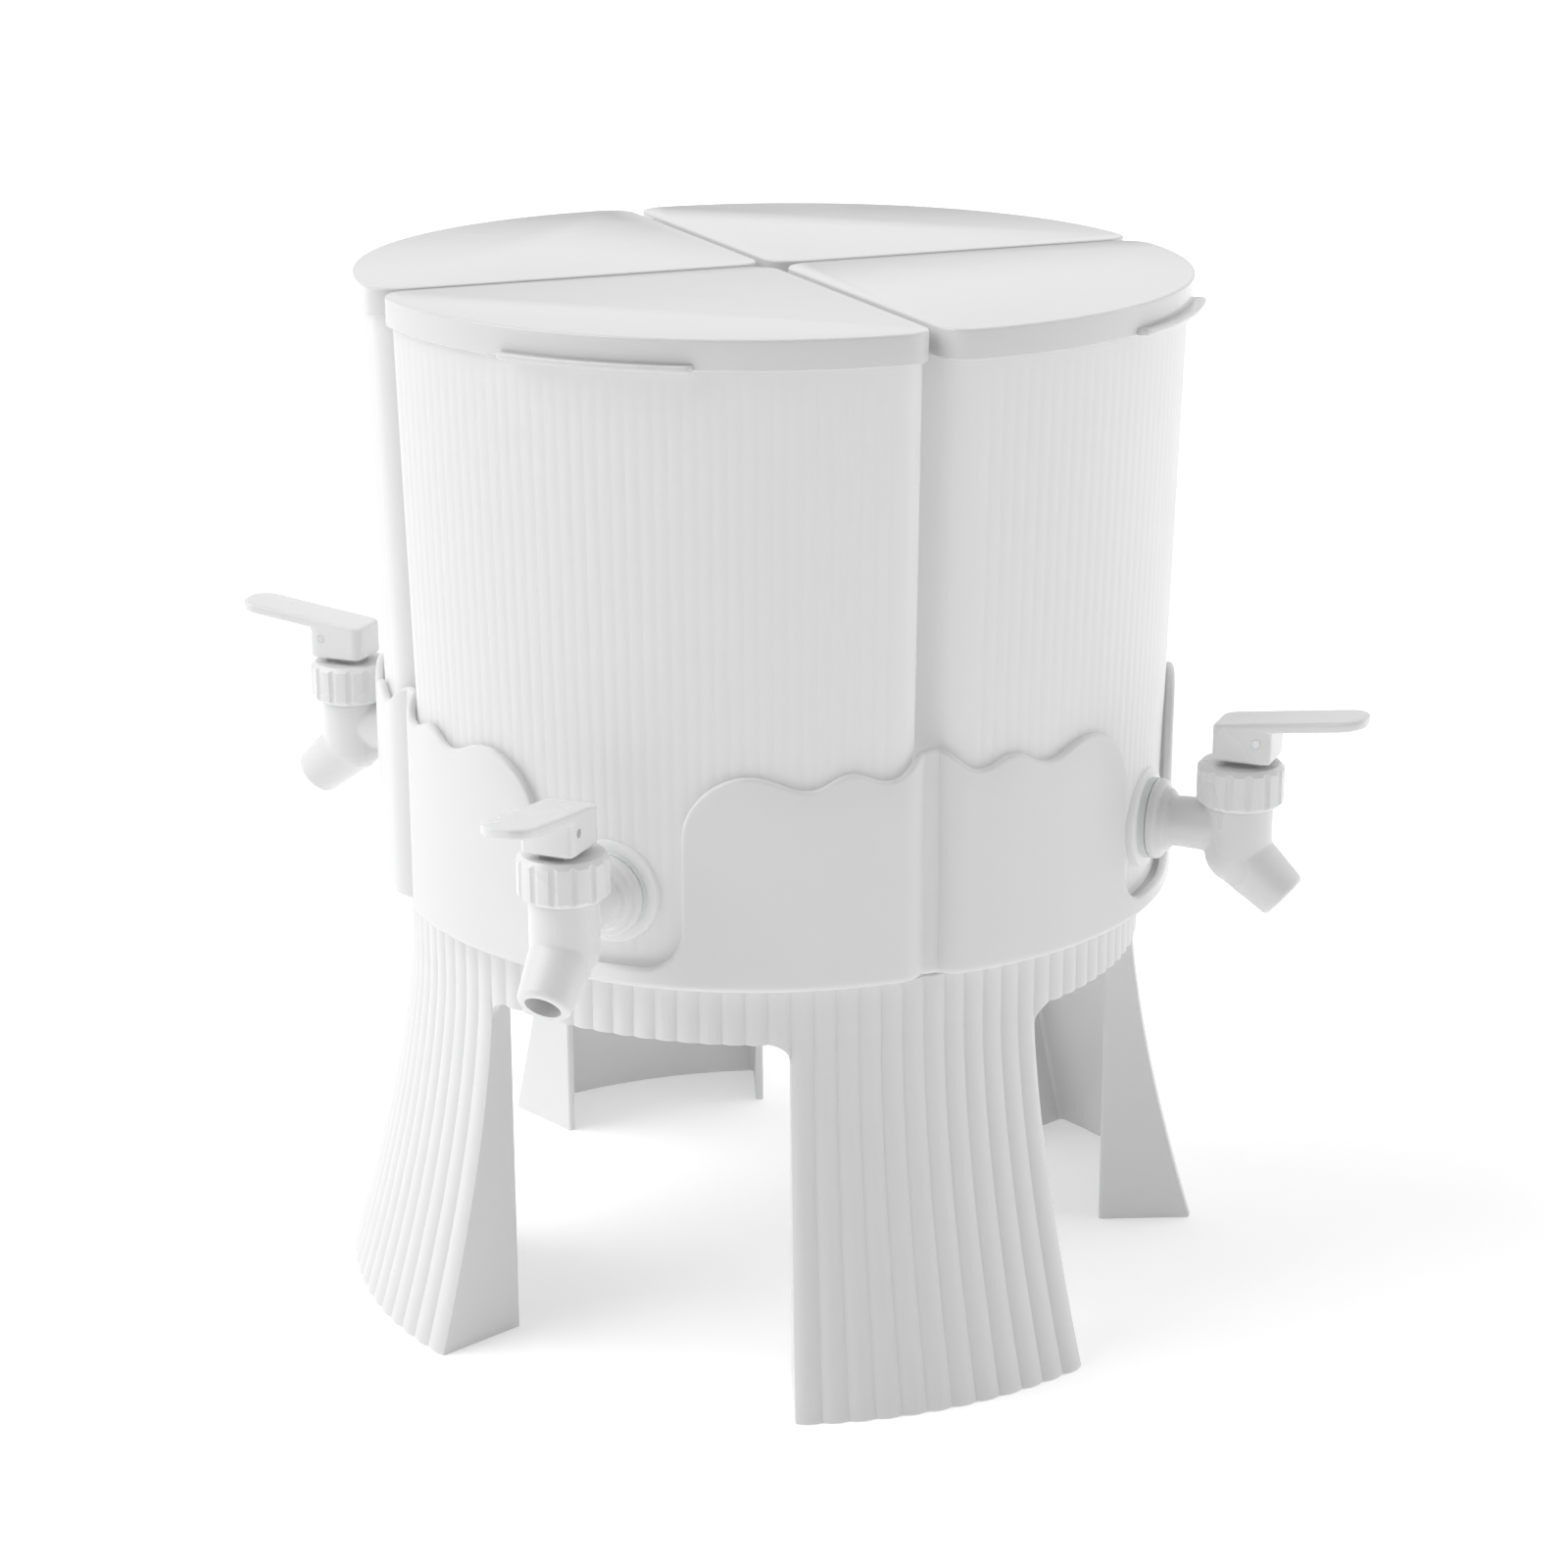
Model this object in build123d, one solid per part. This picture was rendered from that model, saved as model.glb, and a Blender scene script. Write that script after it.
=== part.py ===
from build123d import *
import math
import os

# Rotating drink dispenser: four lidded containers, each with its own tap, stand in a turning
# tray on a fluted four-legged stand. Millimetres, +Z up, origin on the floor under the pivot.
# The taps point along -Y, +X, +Y and -X. Legs, tray creases and lid gaps lie on the diagonals.

# Layout
sides = {"front": -90, "right": 0, "rear": 90, "left": 180}
compartment_count = len(sides)
tray_radius = 123.0
quarter_turn = 360 / compartment_count
diagonal = quarter_turn / 2
overrun = 5.0
face_gap = 0.3
running_clearance = 0.05
lobe_offset = 12.0

# Stand
stand_height = 126.0
apron_inset = 10.0
apron_height = 18.0
apron_wall = 3.0
deck_drop = 13.0
deck_thickness = 3.0
leg_flare = 22.3
flange_inset = 8.0
leg_wall = 2.6
flute_depth = 0.9
flutes_per_quarter = 27
flutes_per_leg = 12
flare_section_count = 7
flare_power = 1.5
arch_corner_radius = 6.0
hub_radius = 12.0
hub_rise = 9.0
hub_fall = 13.0

# Ball bearing between the deck and the tray
ball_radius = 3.5
ball_count = 16
ball_clearance = 0.08
ball_circle_radius = 68.0
race_width = 16.0
race_gap = 3.0
cage_thickness = 2.0
cage_width = 12.0

# Pivot
spindle_radius = 6.0
spindle_end_play = 0.5
washer_radius = 11.0
washer_thickness = 1.5
screw_radius = 2.0
screw_length = 18.0
screw_head_radius = 4.5
screw_head_height = 3.0
screw_slot_width = 1.2
screw_slot_depth = 1.4

# Tray
tray_running_gap = 1.0
tray_floor = 3.0
tray_wall = 2.5
tray_wall_height = 60.5
tray_crest_height = 3.5
tray_crease_depth = 7.0
tray_corner_radius = 10.0
tray_edge_radius = 2.2
opening_half_width = 22.3
opening_corner_radius = 20.0
opening_foot_radius = 12.0
opening_sill = 3.0
crest_half_width = 52.0
# The wave between the middle crest and the opening: share of the half width, share of the crest height
wave_shares = [(0.27, -0.95), (0.48, -0.1), (0.71, -1.3), (1.0, -0.1)]

# Containers
container_height = 178.2
container_tray_gap = 2.2
container_draft = 4.9
container_wall = 2.0
container_floor = 2.6
container_centre_radius = 8.0
tap_height = 24.0
pad_radius = 15.0
pad_proud = 2.3
pad_thickness = 4.8

# Lids
lid_wall = 1.5
lid_top_thickness = 2.4
lid_skirt_depth = 8.5
lid_gap = 3.0
lid_corner_radius = 9.0
lid_centre_radius = 9.0
lid_edge_radius = 0.7
plug_wall = 1.5
plug_depth = 6.0
gasket_thickness = 1.0
lip_half_angle = 13
lip_reach = 3.6
lip_thickness = 1.8
lip_corner_radius = 2.0

# Tap body
stem_length = 25.6
barrel_radius = 9.85
barrel_rise = 8.0
barrel_neck_radius = 8.6
barrel_neck_height = 7.7
chamber_radius = 6.6
seat_drop = 4.5
seat_thickness = 2.5
seat_hole_radius = 4.0
shank_radius = 7.5
shank_bore_radius = 4.5
shank_inside_length = 14.0
stem_radius = 7.7
flange_disc_radius = 12.0
flange_disc_thickness = 2.9
step_radius = 9.5
step_thickness = 2.5
spout_length = 19.2
spout_tilt = 41
spout_root_radius = 9.6
spout_mouth_radius = 7.6
spout_bore_radius = 5.2
washer_seal_thickness = 2.0
inner_seal_thickness = 1.5
nut_across_flats = 22.0
nut_thickness = 6.5

# Tap bonnet
collar_radius = 12.8
collar_height = 12.5
collar_chamfer = 1.4
collar_grip_count = 14
collar_grip_radius = 1.6
collar_grip_depth = 0.7
bonnet_ceiling = 4.7
post_back = 4.2
post_half_width = 3.9
post_height = 5.1
pivot_offset = 6.2
pivot_rise = 8.1
ear_radius = 2.8
ear_web = 0.6
pin_radius = 1.25

# Tap lever
lever_width = 16.0
lever_back = 7.4
lever_front = 10.4
lever_skirt_gap = 1.8
lever_wall = 1.1
lever_top_rise = 12.5
lever_hub_corner = 3.0
lever_plate_thickness = 3.0
lever_reach = 37.0
lever_tilt = 7
lever_tip_radius = 6.5
link_radius = 1.0

# Tap plunger, seal and spring
rod_radius = 1.9
rod_clearance = 0.08
eye_radius = 2.6
eye_thickness = 3.0
eye_hole_radius = 1.6
shoulder_radius = 5.6
shoulder_thickness = 1.5
seal_radius = 6.0
seal_thickness = 3.5
seal_seat_gap = 0.05
spring_wire = 0.8
spring_radius = 4.4
spring_turns = 6

# Heights that follow from the sizes above
deck_top = stand_height - deck_drop
deck_bottom = deck_top - deck_thickness
leg_top = stand_height - apron_height
tray_underside = stand_height + tray_running_gap
floor_top = tray_underside + tray_floor
tray_top = floor_top + tray_wall_height
hub_bottom = deck_bottom - hub_fall
spindle_bottom = hub_bottom - spindle_end_play
ball_height = (deck_top + tray_underside) / 2
container_top = floor_top + container_height
lid_underside = container_top + gasket_thickness
lid_top = lid_underside + lid_top_thickness
tap_axis = floor_top + tap_height
seat_top = tap_axis - seat_drop
barrel_top = tap_axis + barrel_rise
collar_top = barrel_top + collar_height
collar_ceiling = collar_top - bonnet_ceiling
pivot_height = collar_top + pivot_rise
lever_top = collar_top + lever_top_rise

# Reaches from the pivot that follow from the tray's radius
apron_radius = tray_radius - apron_inset
foot_radius = apron_radius + leg_flare
flange_radius = apron_radius - flange_inset
tray_crease_radius = tray_radius - tray_crease_depth
container_base_radius = tray_radius - tray_wall - container_tray_gap
container_top_radius = container_base_radius + container_draft
lid_radius = container_top_radius + lid_wall + face_gap
pad_reach = container_base_radius + pad_proud
barrel_reach = pad_reach + washer_seal_thickness + stem_length

# Gaps at the flat sides, half of the distance between neighbours
lid_side_gap = lid_gap / 2
container_side_gap = lid_side_gap + lid_wall + face_gap
container_corner_radius = lid_corner_radius - lid_wall - face_gap


def polar(radius, angle):
    """Point at a radius and an angle in degrees."""
    return (radius * math.cos(math.radians(angle)), radius * math.sin(math.radians(angle)))


def sector(reach, side_gap, corner, centre_corner):
    """Quarter outline about +X: a lobed arc outside and flat sides beside the diagonals."""
    apex = side_gap / math.sin(math.radians(diagonal))
    span = 2 * reach
    arc = Pos(lobe_offset, 0) * Circle(reach - lobe_offset)
    wedge = make_face(Polyline((apex, 0), (apex + span, -span), (apex + span, span), close=True))
    outline = arc & wedge
    outline = fillet(outline.vertices().sort_by(Axis.X)[-2:], corner)
    return fillet(outline.vertices().sort_by(Axis.X)[:1], centre_corner)


def prism(face, low, high):
    """Solid above a flat outline, from one height to another."""
    return Pos(0, 0, low) * extrude(face, high - low)


def tube_x(radius, low, high, height):
    """Round bar along X between two reaches."""
    return Pos(low, 0, height) * Rot(0, 90, 0) * Cylinder(
        radius, high - low, align=(Align.CENTER, Align.CENTER, Align.MIN))


def tube_y(radius, half_width, reach, height):
    """Round bar across the tap, centred on its plane."""
    return Pos(reach, 0, height) * Rot(90, 0, 0) * Cylinder(radius, 2 * half_width)


def tube_z(radius, low, high):
    """Upright round bar on the pivot axis."""
    return Pos(0, 0, low) * Cylinder(
        radius, high - low, align=(Align.CENTER, Align.CENTER, Align.MIN))


def block(x_low, x_high, half_width, z_low, z_high):
    """Box across the tap's plane between two reaches and two heights."""
    return Pos(x_low, 0, z_low) * Box(
        x_high - x_low, 2 * half_width, z_high - z_low, align=(Align.MIN, Align.CENTER, Align.MIN))


def flare_radius(height):
    """Ridge radius of a leg at a height: it sweeps out towards the floor."""
    share = (leg_top - height) / leg_top
    return apron_radius + (foot_radius - apron_radius) * share ** flare_power


def fluted_edges(ridge_radius, first_angle, count, pitch):
    """Arcs of the rounded flutes, one after the other."""
    valley = ridge_radius - flute_depth
    edges = []
    for index in range(count):
        angle = first_angle + index * pitch
        edges.append(ThreePointArc(
            polar(valley, angle), polar(ridge_radius, angle + pitch / 2), polar(valley, angle + pitch)))
    return edges


def leg_section(height, half_angle, pitch):
    """Full section of one leg about +X at a height, closed by a straight inner edge."""
    radius = flare_radius(height)
    edges = fluted_edges(radius, -half_angle, flutes_per_leg, pitch)
    valley = radius - flute_depth
    edges.append(Line(polar(valley, half_angle), polar(flange_radius, half_angle)))
    edges.append(Line(polar(flange_radius, half_angle), polar(flange_radius, -half_angle)))
    edges.append(Line(polar(flange_radius, -half_angle), polar(valley, -half_angle)))
    return Pos(0, 0, height) * make_face(edges)


def channel_section(height, half_angle):
    """Hollow of one leg about +X at a height, open towards the pivot."""
    outer = flare_radius(height) - flute_depth - leg_wall
    apex = leg_wall / math.sin(math.radians(half_angle))
    inner = flange_radius - overrun - leg_wall
    slope = math.tan(math.radians(half_angle))
    turn = half_angle - math.degrees(math.asin(leg_wall / outer))
    near = (inner - apex) * slope
    outline = [
        Line((inner, -near), polar(outer, -turn)),
        ThreePointArc(polar(outer, -turn), (outer, 0), polar(outer, turn)),
        Line(polar(outer, turn), (inner, near)),
        Line((inner, near), (inner, -near)),
    ]
    return Pos(0, 0, height) * make_face(outline)


def make_leg():
    """One leg about +X: a fluted outer plate with two side flanges, open behind."""
    pitch = quarter_turn / flutes_per_quarter
    half_angle = pitch * flutes_per_leg / 2
    heights = [leg_top * index / (flare_section_count - 1) for index in range(flare_section_count)]
    body = loft([leg_section(height, half_angle, pitch) for height in heights])
    hollow = loft([channel_section(height, half_angle) for height in heights])
    return body - hollow


def make_gusset():
    """Rounded corner between a leg at +X and the apron, on one side of the leg."""
    half_angle = quarter_turn / flutes_per_quarter * flutes_per_leg / 2
    corner = make_face([
        Line((0, 0), (arch_corner_radius, 0)),
        ThreePointArc(
            (arch_corner_radius, 0),
            (arch_corner_radius * (1 - math.sin(math.radians(diagonal))),
             -arch_corner_radius * (1 - math.cos(math.radians(diagonal)))),
            (0, -arch_corner_radius)),
        Line((0, -arch_corner_radius), (0, 0)),
    ])
    plane = Plane(origin=(apron_radius - apron_wall, 0, leg_top), x_dir=(0, 1, 0), z_dir=(1, 0, 0))
    web = extrude(plane * corner, apron_wall - flute_depth)
    return Rot(0, 0, half_angle) * web


def make_stand():
    """Fluted stand: apron ring, deck with the pivot hub, and four legs on the diagonals."""
    pitch = quarter_turn / flutes_per_quarter
    count = flutes_per_quarter * compartment_count
    ring = make_face(fluted_edges(apron_radius, pitch / 2, count, pitch)) - Circle(apron_radius - apron_wall)
    stand = prism(ring, leg_top, stand_height)
    stand += tube_z(apron_radius - apron_wall, deck_bottom, deck_top)
    stand += tube_z(hub_radius, hub_bottom, deck_top + hub_rise)
    stand -= tube_z(spindle_radius + running_clearance, hub_bottom - overrun, deck_top + hub_rise + overrun)
    leg = make_leg()
    gusset = make_gusset()
    for index in range(compartment_count):
        turn = Rot(0, 0, diagonal + index * quarter_turn)
        stand += turn * leg
        stand += turn * gusset
        stand += turn * mirror(gusset, about=Plane.XZ)
    return stand


def ring_z(inner, outer, low, high):
    """Flat ring about the pivot axis."""
    return tube_z(outer, low, high) - tube_z(inner, low - overrun, high + overrun)


def ball_groove():
    """Torus in which the balls run, with their clearance."""
    return Pos(0, 0, ball_height) * Torus(ball_circle_radius, ball_radius + ball_clearance)


def make_lower_race():
    """Bearing ring on the deck, with the groove for the balls."""
    inner = ball_circle_radius - race_width / 2
    outer = ball_circle_radius + race_width / 2
    return ring_z(inner, outer, deck_top, ball_height - race_gap / 2) - ball_groove()


def make_upper_race():
    """Bearing ring under the tray, with the groove for the balls."""
    inner = ball_circle_radius - race_width / 2
    outer = ball_circle_radius + race_width / 2
    return ring_z(inner, outer, ball_height + race_gap / 2, tray_underside) - ball_groove()


def ball_places():
    """Places of the balls round their circle."""
    return [Rot(0, 0, index * 360 / ball_count) * Pos(ball_circle_radius, 0, ball_height)
            for index in range(ball_count)]


def make_ball_cage():
    """Flat ring that keeps the balls apart."""
    inner = ball_circle_radius - cage_width / 2
    outer = ball_circle_radius + cage_width / 2
    cage = ring_z(inner, outer, ball_height - cage_thickness / 2, ball_height + cage_thickness / 2)
    for place in ball_places():
        cage -= place * Cylinder(ball_radius + ball_clearance, cage_thickness + overrun)
    return cage


def make_balls():
    """The ring of steel balls, as separate solids."""
    return Compound(children=[place * Sphere(ball_radius) for place in ball_places()])


def wave_cutter():
    """Region above the wavy top edge at the crease on +X, drawn across the crease."""
    places = [(share * crest_half_width, height * tray_crest_height) for share, height in wave_shares]
    left = [(-across, height) for across, height in reversed(places)]
    points = left + [(0, tray_crest_height)] + places
    edges = []
    for before, after in zip(points, points[1:]):
        middle = ((before[0] + after[0]) / 2, (before[1] + after[1]) / 2)
        edges.append(TangentArc(before, middle, tangent=(1, 0)))
        edges.append(TangentArc(after, middle, tangent=(-1, 0)))
    start = points[0]
    end = points[-1]
    far = 2 * crest_half_width
    roof = tray_crest_height + overrun
    edges += Polyline(end, (far, end[1]), (far, roof), (-far, roof), (-far, start[1]), start).edges()
    outline = make_face(edges)
    near = tray_crease_radius - tray_radius / 2
    plane = Plane(origin=(near, 0, tray_top), x_dir=(0, 1, 0), z_dir=(1, 0, 0))
    return extrude(plane * outline, tray_radius)


def opening_cutter():
    """Notch for the tap on +X: rounded at the foot, with the wall's corners rounded above it."""
    sill = floor_top + opening_sill
    height = tray_top - sill
    notch = Pos(0, height / 2) * Rectangle(2 * opening_half_width, height)
    notch = fillet(notch.vertices().sort_by(Axis.Y)[:2], opening_foot_radius)
    wide = opening_half_width + opening_corner_radius
    mouth = Pos(0, height - opening_corner_radius / 2) * Rectangle(2 * wide, opening_corner_radius)
    for side in (-1, 1):
        mouth -= Pos(side * wide, height - opening_corner_radius) * Circle(opening_corner_radius)
    lift = tray_crest_height + overrun
    roof = Pos(0, height + lift / 2) * Rectangle(2 * wide, lift)
    plane = Plane(origin=(lobe_offset, 0, sill), x_dir=(0, 1, 0), z_dir=(1, 0, 0))
    return extrude(plane * (notch + mouth + roof), tray_radius)


def lobed_disc(reach, corner, crease_radius):
    """Closed outline of four lobes with rounded creases between them."""
    outline = Circle(crease_radius)
    lobe = sector(reach, 0, corner, corner)
    for angle in sides.values():
        outline += Rot(0, 0, angle) * lobe
    return outline


def make_tray():
    """Turning tray: lobed floor and wavy wall with a notch for each tap, on its spindle."""
    outer = lobed_disc(tray_radius, tray_corner_radius, tray_crease_radius)
    inner = lobed_disc(tray_radius - tray_wall, tray_corner_radius - tray_wall, tray_crease_radius - tray_wall)
    tray = prism(outer, tray_underside, tray_top + tray_crest_height)
    tray = fillet(tray.edges().group_by(Axis.Z)[0], tray_edge_radius)
    tray -= prism(inner, floor_top, tray_top + tray_crest_height + overrun)
    wave = wave_cutter()
    notch = opening_cutter()
    for angle in sides.values():
        tray -= Rot(0, 0, angle + diagonal) * wave
        tray -= Rot(0, 0, angle) * notch
    tray += tube_z(spindle_radius, spindle_bottom, tray_underside)
    pilot_top = spindle_bottom + screw_length + overrun
    return tray - tube_z(screw_radius + running_clearance, spindle_bottom - overrun, pilot_top)


def make_pivot_washer():
    """Washer under the hub that keeps the tray from lifting off its bearing."""
    low = spindle_bottom - washer_thickness
    return ring_z(screw_radius + running_clearance, washer_radius, low, spindle_bottom)


def make_pivot_screw():
    """Slotted screw that holds the washer on the tray's spindle."""
    head_top = spindle_bottom - washer_thickness
    head_bottom = head_top - screw_head_height
    screw = tube_z(screw_head_radius, head_bottom, head_top)
    screw += tube_z(screw_radius, head_top, spindle_bottom + screw_length)
    slot = Box(2 * washer_radius, screw_slot_width, 2 * screw_slot_depth)
    return screw - Pos(0, 0, head_bottom) * slot


def container_reach(height):
    """Outer reach of a container's lobe at a height: the wall leans out a little."""
    share = (height - floor_top) / container_height
    return container_base_radius + (container_top_radius - container_base_radius) * share


def container_loft(inset, low, high):
    """Leaning quarter block inside a container's outline, set in by a wall."""
    centre_corner = container_centre_radius - inset
    corner = container_corner_radius - inset
    faces = []
    for height in (low, high):
        face = sector(container_reach(height) - inset, container_side_gap + inset, corner, centre_corner)
        faces.append(Pos(0, 0, height) * face)
    return loft(faces, ruled=True)


def make_container():
    """Open quarter container about +X, with a flat pad and hole for the tap."""
    container = container_loft(0, floor_top, container_top)
    container += tube_x(pad_radius, pad_reach - pad_thickness, pad_reach, tap_axis)
    hollow = container_loft(container_wall, floor_top + container_floor, container_top + overrun)
    hollow -= tube_x(pad_radius, pad_reach - pad_thickness, pad_reach, tap_axis)
    container -= hollow
    return container - tube_x(
        shank_radius + 2 * running_clearance, pad_reach - pad_thickness - overrun, pad_reach + overrun, tap_axis)


def make_lid():
    """Quarter lid about +X: flat top, skirt outside the rim, plug inside it, and a finger lip."""
    inner_reach = lid_radius - lid_wall
    inner_gap = lid_side_gap + lid_wall
    inner_corner = lid_corner_radius - lid_wall
    outer = sector(lid_radius, lid_side_gap, lid_corner_radius, lid_centre_radius)
    inner = sector(inner_reach, inner_gap, inner_corner, inner_corner)
    skirt_bottom = lid_top - lid_skirt_depth
    lid = prism(outer, skirt_bottom, lid_top)
    lid = fillet(lid.edges().group_by(Axis.Z)[-1], lid_edge_radius)
    lid -= prism(inner, skirt_bottom - overrun, lid_underside)
    inset = container_wall + face_gap
    plug_reach = container_top_radius - inset
    plug_gap = container_side_gap + inset
    plug_corner = container_corner_radius - inset
    plug = sector(plug_reach, plug_gap, plug_corner, container_centre_radius - inset)
    plug -= sector(
        plug_reach - plug_wall, plug_gap + plug_wall, plug_corner - plug_wall,
        container_centre_radius - inset - plug_wall)
    lid += prism(plug, lid_underside - plug_depth, lid_underside)
    lip_wedge = make_face(Polyline(
        (0, 0), polar(2 * lid_radius, -lip_half_angle), polar(2 * lid_radius, lip_half_angle), close=True))
    lip = (Pos(lobe_offset, 0) * Circle(lid_radius + lip_reach - lobe_offset)) & lip_wedge
    lip -= Pos(lobe_offset, 0) * Circle(inner_reach - lobe_offset)
    lip = fillet(lip.vertices().sort_by(Axis.X)[-2:], lip_corner_radius)
    return lid + prism(lip, skirt_bottom, skirt_bottom + lip_thickness)


def make_lid_gasket():
    """Soft ring between a lid and its container's rim."""
    gap = container_side_gap
    ring = sector(container_top_radius, gap, container_corner_radius, container_centre_radius)
    inset = container_wall
    ring -= sector(
        container_top_radius - inset, gap + inset, container_corner_radius - inset,
        container_centre_radius - inset)
    return prism(ring, container_top, lid_underside)


def make_tap_body():
    """Tap body about +X: shank, flange, stem, upright barrel and tilted spout, with its bores."""
    flange_low = pad_reach + washer_seal_thickness
    flange_high = flange_low + flange_disc_thickness
    shank_low = pad_reach - pad_thickness - shank_inside_length
    body = tube_x(shank_radius, shank_low, flange_high, tap_axis)
    body += tube_x(flange_disc_radius, flange_low, flange_high, tap_axis)
    body += tube_x(step_radius, flange_high, flange_high + step_thickness, tap_axis)
    body += tube_x(stem_radius, flange_high, barrel_reach, tap_axis)
    axis = Pos(barrel_reach, 0, 0)
    elbow_height = seat_top - seat_thickness
    body += axis * tube_z(barrel_radius, elbow_height, barrel_top)
    body += axis * tube_z(barrel_neck_radius, barrel_top, barrel_top + barrel_neck_height)
    body += Pos(barrel_reach, 0, elbow_height) * Sphere(barrel_radius)
    tilt = Pos(barrel_reach, 0, elbow_height) * Rot(0, 90 + spout_tilt, 0)
    base = (Align.CENTER, Align.CENTER, Align.MIN)
    body += tilt * Cone(spout_root_radius, spout_mouth_radius, spout_length, align=base)
    body -= tilt * Cylinder(spout_bore_radius, spout_length + overrun, align=base)
    body -= Pos(barrel_reach, 0, elbow_height) * Sphere(spout_bore_radius)
    body -= axis * tube_z(seat_hole_radius, elbow_height, seat_top)
    body -= axis * tube_z(chamber_radius, seat_top, barrel_top + barrel_neck_height + overrun)
    return body - tube_x(shank_bore_radius, shank_low - overrun, barrel_reach, tap_axis)


def make_tap_washers():
    """Soft washers on both sides of the container's wall."""
    inner_high = pad_reach - pad_thickness
    washers = []
    for low, high in ((pad_reach, pad_reach + washer_seal_thickness),
                      (inner_high - inner_seal_thickness, inner_high)):
        ring = tube_x(flange_disc_radius, low, high, tap_axis)
        washers.append(ring - tube_x(shank_radius + running_clearance, low - overrun, high + overrun, tap_axis))
    return Compound(children=washers)


def make_tap_nut():
    """Hexagon nut inside the container that clamps the tap."""
    high = pad_reach - pad_thickness - inner_seal_thickness
    low = high - nut_thickness
    hexagon = RegularPolygon(nut_across_flats / 2, 6, major_radius=False)
    nut = Pos(low, 0, tap_axis) * Rot(0, 90, 0) * extrude(hexagon, nut_thickness)
    return nut - tube_x(shank_radius + running_clearance, low - overrun, high + overrun, tap_axis)


def make_tap_bonnet():
    """Collar that closes the barrel, with the post that carries the lever's pin."""
    axis = Pos(barrel_reach, 0, 0)
    collar = tube_z(collar_radius, barrel_top, collar_top)
    collar = chamfer(collar.edges().filter_by(GeomType.CIRCLE), collar_chamfer)
    for index in range(collar_grip_count):
        grip = Pos(collar_radius + collar_grip_radius - collar_grip_depth, 0, 0) * tube_z(
            collar_grip_radius, barrel_top - overrun, collar_top + overrun)
        collar -= Rot(0, 0, (index + 1 / 2) * 360 / collar_grip_count) * grip
    bonnet = axis * collar
    bonnet -= axis * tube_z(barrel_neck_radius + running_clearance, barrel_top - overrun, collar_ceiling)
    pivot = barrel_reach + pivot_offset
    web = pivot + ear_web
    bonnet += block(barrel_reach - post_back, web, post_half_width, collar_top, collar_top + post_height)
    bonnet += block(pivot - ear_radius, web, post_half_width, collar_top, pivot_height)
    bonnet += tube_y(ear_radius, post_half_width, pivot, pivot_height)
    bonnet -= axis * tube_z(rod_radius + rod_clearance, collar_ceiling - overrun, collar_top + post_height + overrun)
    return bonnet - tube_y(pin_radius + running_clearance, post_half_width + overrun, pivot, pivot_height)


def make_lever_pin():
    """Pin on which the lever rocks."""
    return tube_y(pin_radius, lever_width / 2, barrel_reach + pivot_offset, pivot_height)


def make_tap_lever():
    """Lever: hollow hub over the post, flat tilted handle and the bar that lifts the plunger."""
    back = barrel_reach - lever_back
    front = barrel_reach + lever_front
    tip = barrel_reach + lever_reach
    low = collar_top + lever_skirt_gap
    slope = math.tan(math.radians(lever_tilt))
    front_top = lever_top + (front - back) * slope
    tip_top = lever_top + (tip - back) * slope
    profile = make_face(Plane.XZ * Polyline(
        (back, low), (front, low), (front, front_top - lever_plate_thickness),
        (tip, tip_top - lever_plate_thickness), (tip, tip_top), (back, lever_top), close=True))
    plan = Pos((back + tip) / 2, 0) * Rectangle(tip - back, lever_width)
    plan = fillet(plan.vertices().sort_by(Axis.X)[:2], lever_hub_corner)
    plan = fillet(plan.vertices().sort_by(Axis.X)[-2:], lever_tip_radius)
    lever = extrude(profile, lever_width, both=True) & prism(plan, low - overrun, tip_top + overrun)
    upright = lever.edges().filter_by(Axis.Z).filter_by_position(Axis.X, front - overrun, front + overrun)
    lever = fillet(upright, lever_hub_corner)
    inside_top = lever_top - lever_wall
    gap = post_half_width + face_gap
    lever -= block(back + lever_wall, front - lever_wall, gap, low - overrun, inside_top)
    lever += tube_y(link_radius, gap + lever_wall, barrel_reach, pivot_height)
    pivot = barrel_reach + pivot_offset
    return lever - tube_y(pin_radius + running_clearance, lever_width, pivot, pivot_height)


def make_tap_plunger():
    """Rod that opens the valve: an eye for the lever's bar above, a shoulder over the seal below."""
    axis = Pos(barrel_reach, 0, 0)
    seal_top = seat_top + seal_seat_gap + seal_thickness
    rod = axis * tube_z(rod_radius, seat_top + 2 * seal_seat_gap, pivot_height)
    rod += axis * tube_z(shoulder_radius, seal_top, seal_top + shoulder_thickness)
    rod += tube_y(eye_radius, eye_thickness / 2, barrel_reach, pivot_height)
    return rod - tube_y(eye_hole_radius, eye_thickness, barrel_reach, pivot_height)


def make_tap_seal():
    """Soft valve seal on the end of the plunger."""
    low = seat_top + seal_seat_gap
    ring = ring_z(rod_radius + running_clearance, seal_radius, low, low + seal_thickness)
    return Pos(barrel_reach, 0, 0) * ring


def make_tap_spring():
    """Coil spring between the plunger's shoulder and the bonnet, which closes the valve."""
    low = seat_top + seal_seat_gap + seal_thickness + shoulder_thickness + spring_wire / 2 + running_clearance
    high = collar_ceiling - spring_wire / 2 - running_clearance
    path = Helix(pitch=(high - low) / spring_turns, height=high - low, radius=spring_radius)
    section = Plane(origin=path @ 0, z_dir=path % 0) * Circle(spring_wire / 2)
    return Pos(barrel_reach, 0, low) * sweep(section, path=path, is_frenet=True)


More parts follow.
